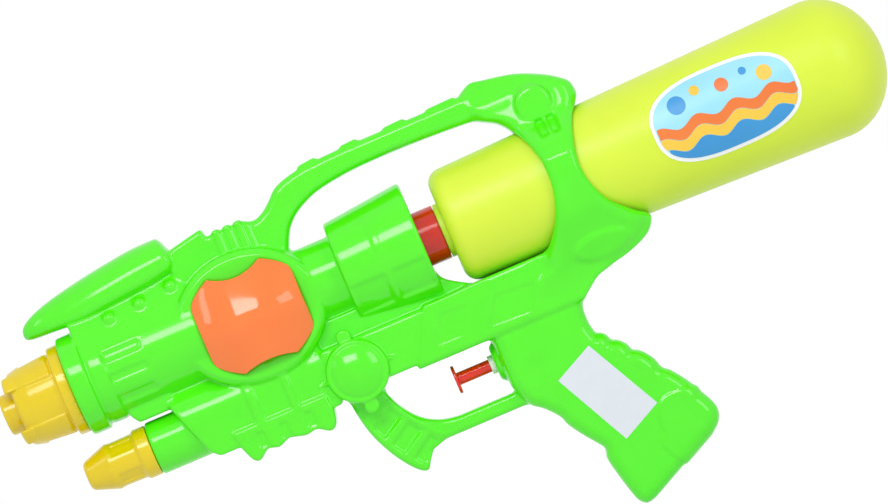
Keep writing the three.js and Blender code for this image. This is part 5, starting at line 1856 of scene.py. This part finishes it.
@dataclass
class Trigger:
    """Push rod with its finger plate, and the gland it runs through."""

    z: float = -61.2
    segments: int = 64
    stem: Line = (
        (69.9, 0), (69.9, 6.3), (71.3, 6.3), (71.3, 2.8), (94, 2.8), (94, 1.4), (97.7, 1.4), (97.7, 0))
    stem_edge: float = 0.5
    gland: Line = ((86.2, 3.1), (86.2, 4.1), (94, 4.1), (94, 3.1), (86.2, 3.1))
    gland_edge: float = 0.3

    def build(self, shop: Workshop) -> None:
        """Place rod and gland.

        Args:
            shop: Workshop that places the pieces.
        """
        stem = lathe("push_rod", filleted(self.stem, self.stem_edge), self.segments, self.z)
        shop.place(stem, RED_POLYSTYRENE, Body.TRIGGER, ["trigger_plunger"], "red_part")
        gland = lathe("gland_ring", filleted(self.gland, self.gland_edge), self.segments, self.z)
        shop.place(gland, WHITE_POLYPROPYLENE, Body.CASING, ["pump_gland"], "white_part")


@dataclass
class Spring:
    """Return spring in the pump's bore, pressed together as the trigger comes back."""

    z: float = -61.2
    front: float = 99.0
    rear: float = 113.8
    seat: float = 114.2
    mean: float = 3.2
    wire: float = 0.4
    turns: int = 6
    turn_steps: int = 24
    sides: int = 8
    pulled_share: float = 0.359

    def mesh(self) -> bpy.types.Mesh:
        """Wind the wire into a coil.

        Returns:
            Its mesh.
        """
        steps = self.turn_steps * self.turns
        places = []
        for i in range(steps + 1):
            angle = 2 * math.pi * self.turns * i / steps
            x = self.front + (self.rear - self.front) * i / steps
            for k in range(self.sides):
                around = 2 * math.pi * k / self.sides
                radius = self.mean + self.wire * math.cos(around)
                places.append((
                    x + self.wire * math.sin(around),
                    radius * math.cos(angle), self.z + radius * math.sin(angle)))
        return ringed("return_coil", np.array(places), self.sides)

    def build(self, shop: Workshop) -> None:
        """Place the coil on the casing, with a mesh of its own.

        Args:
            shop: Workshop that places the piece.
        """
        coil = shop.place(self.mesh(), ZINC_STEEL, Body.CASING, ["return_spring"], "steel")
        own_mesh(coil)


@dataclass
class Studio:
    """Floor, lights and camera.

    Each lamp gives its name, its place and size in metres, and its power in watts.
    """

    tilt: float = 23.0
    centre: Pair = (87.0, -8.5)
    frame_width: float = 381.8
    lens: float = 200.0
    sensor: float = 36.0
    far_end: float = 50.0
    floor_reach: float = 6.0
    floor_colour: str = "#f2f2f2"
    floor_light: float = 1.14
    floor_share: float = 0.85
    room_light: float = 0.62
    background_light: float = 1.0
    lamp_aim: Triple = (-0.04, 0.0, 0.08)
    lamps: tuple[tuple[str, Triple, Pair, float], ...] = (
        ("key lamp", (-0.2, -0.92, 0.74), (0.64, 0.3), 4.8),
        ("side lamp", (0.8, -0.8, 0.4), (0.36, 0.6), 2.0),
        ("edge lamp", (-1.0, -0.45, 0.75), (0.14, 0.3), 0.4),
    )

    def camera(self) -> None:
        """Set a long-lens camera square to the left side, turned so that the barrel climbs to the right."""
        data = bpy.data.cameras.new("camera")
        data.lens, data.sensor_width = self.lens, self.sensor
        data.clip_end = self.far_end
        camera = add_object("camera", data)
        a = math.radians(self.tilt)
        right = Vector((math.cos(a), 0, -math.sin(a)))
        up = Vector((math.sin(a), 0, math.cos(a)))
        turn = Matrix((right, up, Vector((0, -1, 0)))).transposed()
        distance = self.frame_width * self.lens / self.sensor * MM
        aim = Vector((np.array((self.centre[0], 0, self.centre[1])) - PALM) * MM)
        camera.matrix_world = Matrix.Translation(aim - Vector((0, distance, 0))) @ turn.to_4x4()
        bpy.context.scene.camera = camera

    def lamp(self, name: str, place: Triple, size: Pair, power: float) -> None:
        """Add a soft box that faces the squirter.

        Args:
            name: Name of the lamp.
            place: Its place in metres.
            size: Its width and height in metres.
            power: Power in watts.
        """
        data = bpy.data.lights.new(name, "AREA")
        data.shape, data.energy = "RECTANGLE", power
        data.size, data.size_y = size
        lamp = add_object(name, data)
        lamp.location = place
        aim = Vector(self.lamp_aim) - Vector(place)
        lamp.rotation_euler = aim.to_track_quat("-Z", "Y").to_euler()

    def looking(self, tree: bpy.types.NodeTree) -> bpy.types.Node:
        """Tell the rays that look at the background, straight or by way of gloss or glass.

        Args:
            tree: Node tree of the material or world.

        Returns:
            A node that gives one to such rays and nought to the others.
        """
        path = add_node(tree, "ShaderNodeLightPath", {}, {})
        straight = add_node(tree, "ShaderNodeMath", {"operation": "MAXIMUM"}, {
            0: (path, "Is Camera Ray"), 1: (path, "Is Glossy Ray")})
        return add_node(tree, "ShaderNodeMath", {"operation": "MAXIMUM"}, {
            0: (straight, "Value"), 1: (path, "Is Transmission Ray")})

    def floor(self) -> None:
        """Lay a pale floor under the lowest point of the squirter."""
        reach, level = self.floor_reach, CAD_BOX[0][2]
        corners = [(x, y, level) for x, y in box_outline(-reach, reach, -reach, reach)]
        mesh = bpy.data.meshes.new("floor")
        mesh.from_pydata(corners, [], [(0, 1, 2, 3)])
        floor = add_object("floor", mesh)
        paint = bpy.data.materials.new("white painted board")
        tree = empty_tree(paint)
        matt = add_node(tree, "ShaderNodeBsdfDiffuse", {"Color": to_linear(self.floor_colour)}, {})
        white = add_node(tree, "ShaderNodeEmission", {"Strength": self.floor_light}, {})
        share = add_node(
            tree, "ShaderNodeMath",
            {"operation": "MULTIPLY", 1: self.floor_share}, {0: (self.looking(tree), "Value")})
        mix = add_node(
            tree, "ShaderNodeMixShader", {},
            {"Fac": (share, "Value"), 1: (matt, "BSDF"), 2: (white, "Emission")})
        add_node(tree, "ShaderNodeOutputMaterial", {}, {"Surface": (mix, "Shader")})
        mesh.materials.append(paint)

    def world(self) -> None:
        """Light the room evenly, and show white where the camera looks past the squirter."""
        world = bpy.data.worlds.new("studio")
        bpy.context.scene.world = world
        tree = empty_tree(world)
        soft, white = [
            add_node(tree, "ShaderNodeBackground", {"Color": (1, 1, 1, 1), "Strength": light}, {})
            for light in (self.room_light, self.background_light)]
        mix = add_node(
            tree, "ShaderNodeMixShader", {},
            {"Fac": (self.looking(tree), "Value"), 1: (soft, "Background"), 2: (white, "Background")})
        add_node(tree, "ShaderNodeOutputWorld", {}, {"Surface": (mix, "Shader")})

    def build(self) -> None:
        """Set up the whole studio."""
        self.floor()
        self.world()
        for lamp in self.lamps:
            self.lamp(*lamp)
        self.camera()
        bpy.context.scene.view_settings.view_transform = "Standard"


def dress_inner_nodes(shop: Workshop) -> None:
    """Give the nodes that stay from the model their finishes.

    Args:
        shop: Workshop that keeps the materials.
    """
    finishes = {
        WHITE_POLYPROPYLENE: ("jet_insert", "piston", "pump_cylinder", "valve_block"),
        BLACK_RUBBER: ("tank_washer", "piston_seal"),
        MILKY_PVC: ("dip_tube", "suction_hose", "delivery_hose"),
        ZINC_STEEL: ("inlet_ball", "outlet_ball", *[f"casing_screw_{i}" for i in range(1, 9)]),
    }
    for finish, nodes in finishes.items():
        for node in nodes:
            shop.dress(node, finish)


def main() -> None:
    """Build the pieces in order, then the studio."""
    logging.basicConfig(level=logging.INFO, format="%(name)s %(message)s")
    shop = Workshop()
    dome = Dome()
    Casing().build(shop, dome)
    shop.place(dome.mesh("left_insert", -1), ORANGE_POLYSTYRENE, Body.CASING, ["left_dome"], "orange_dome")
    shop.place(dome.mesh("right_insert", 1), ORANGE_POLYSTYRENE, Body.CASING, ["right_dome"], "orange_dome")
    Nozzles().build(shop)
    bottle = Bottle()
    bottle.build(shop)
    Sticker().build(shop, bottle)
    Label().build(shop)
    Trigger().build(shop)
    Spring().build(shop)
    dress_inner_nodes(shop)
    Studio().build()


if __name__ == "__main__":
    main()
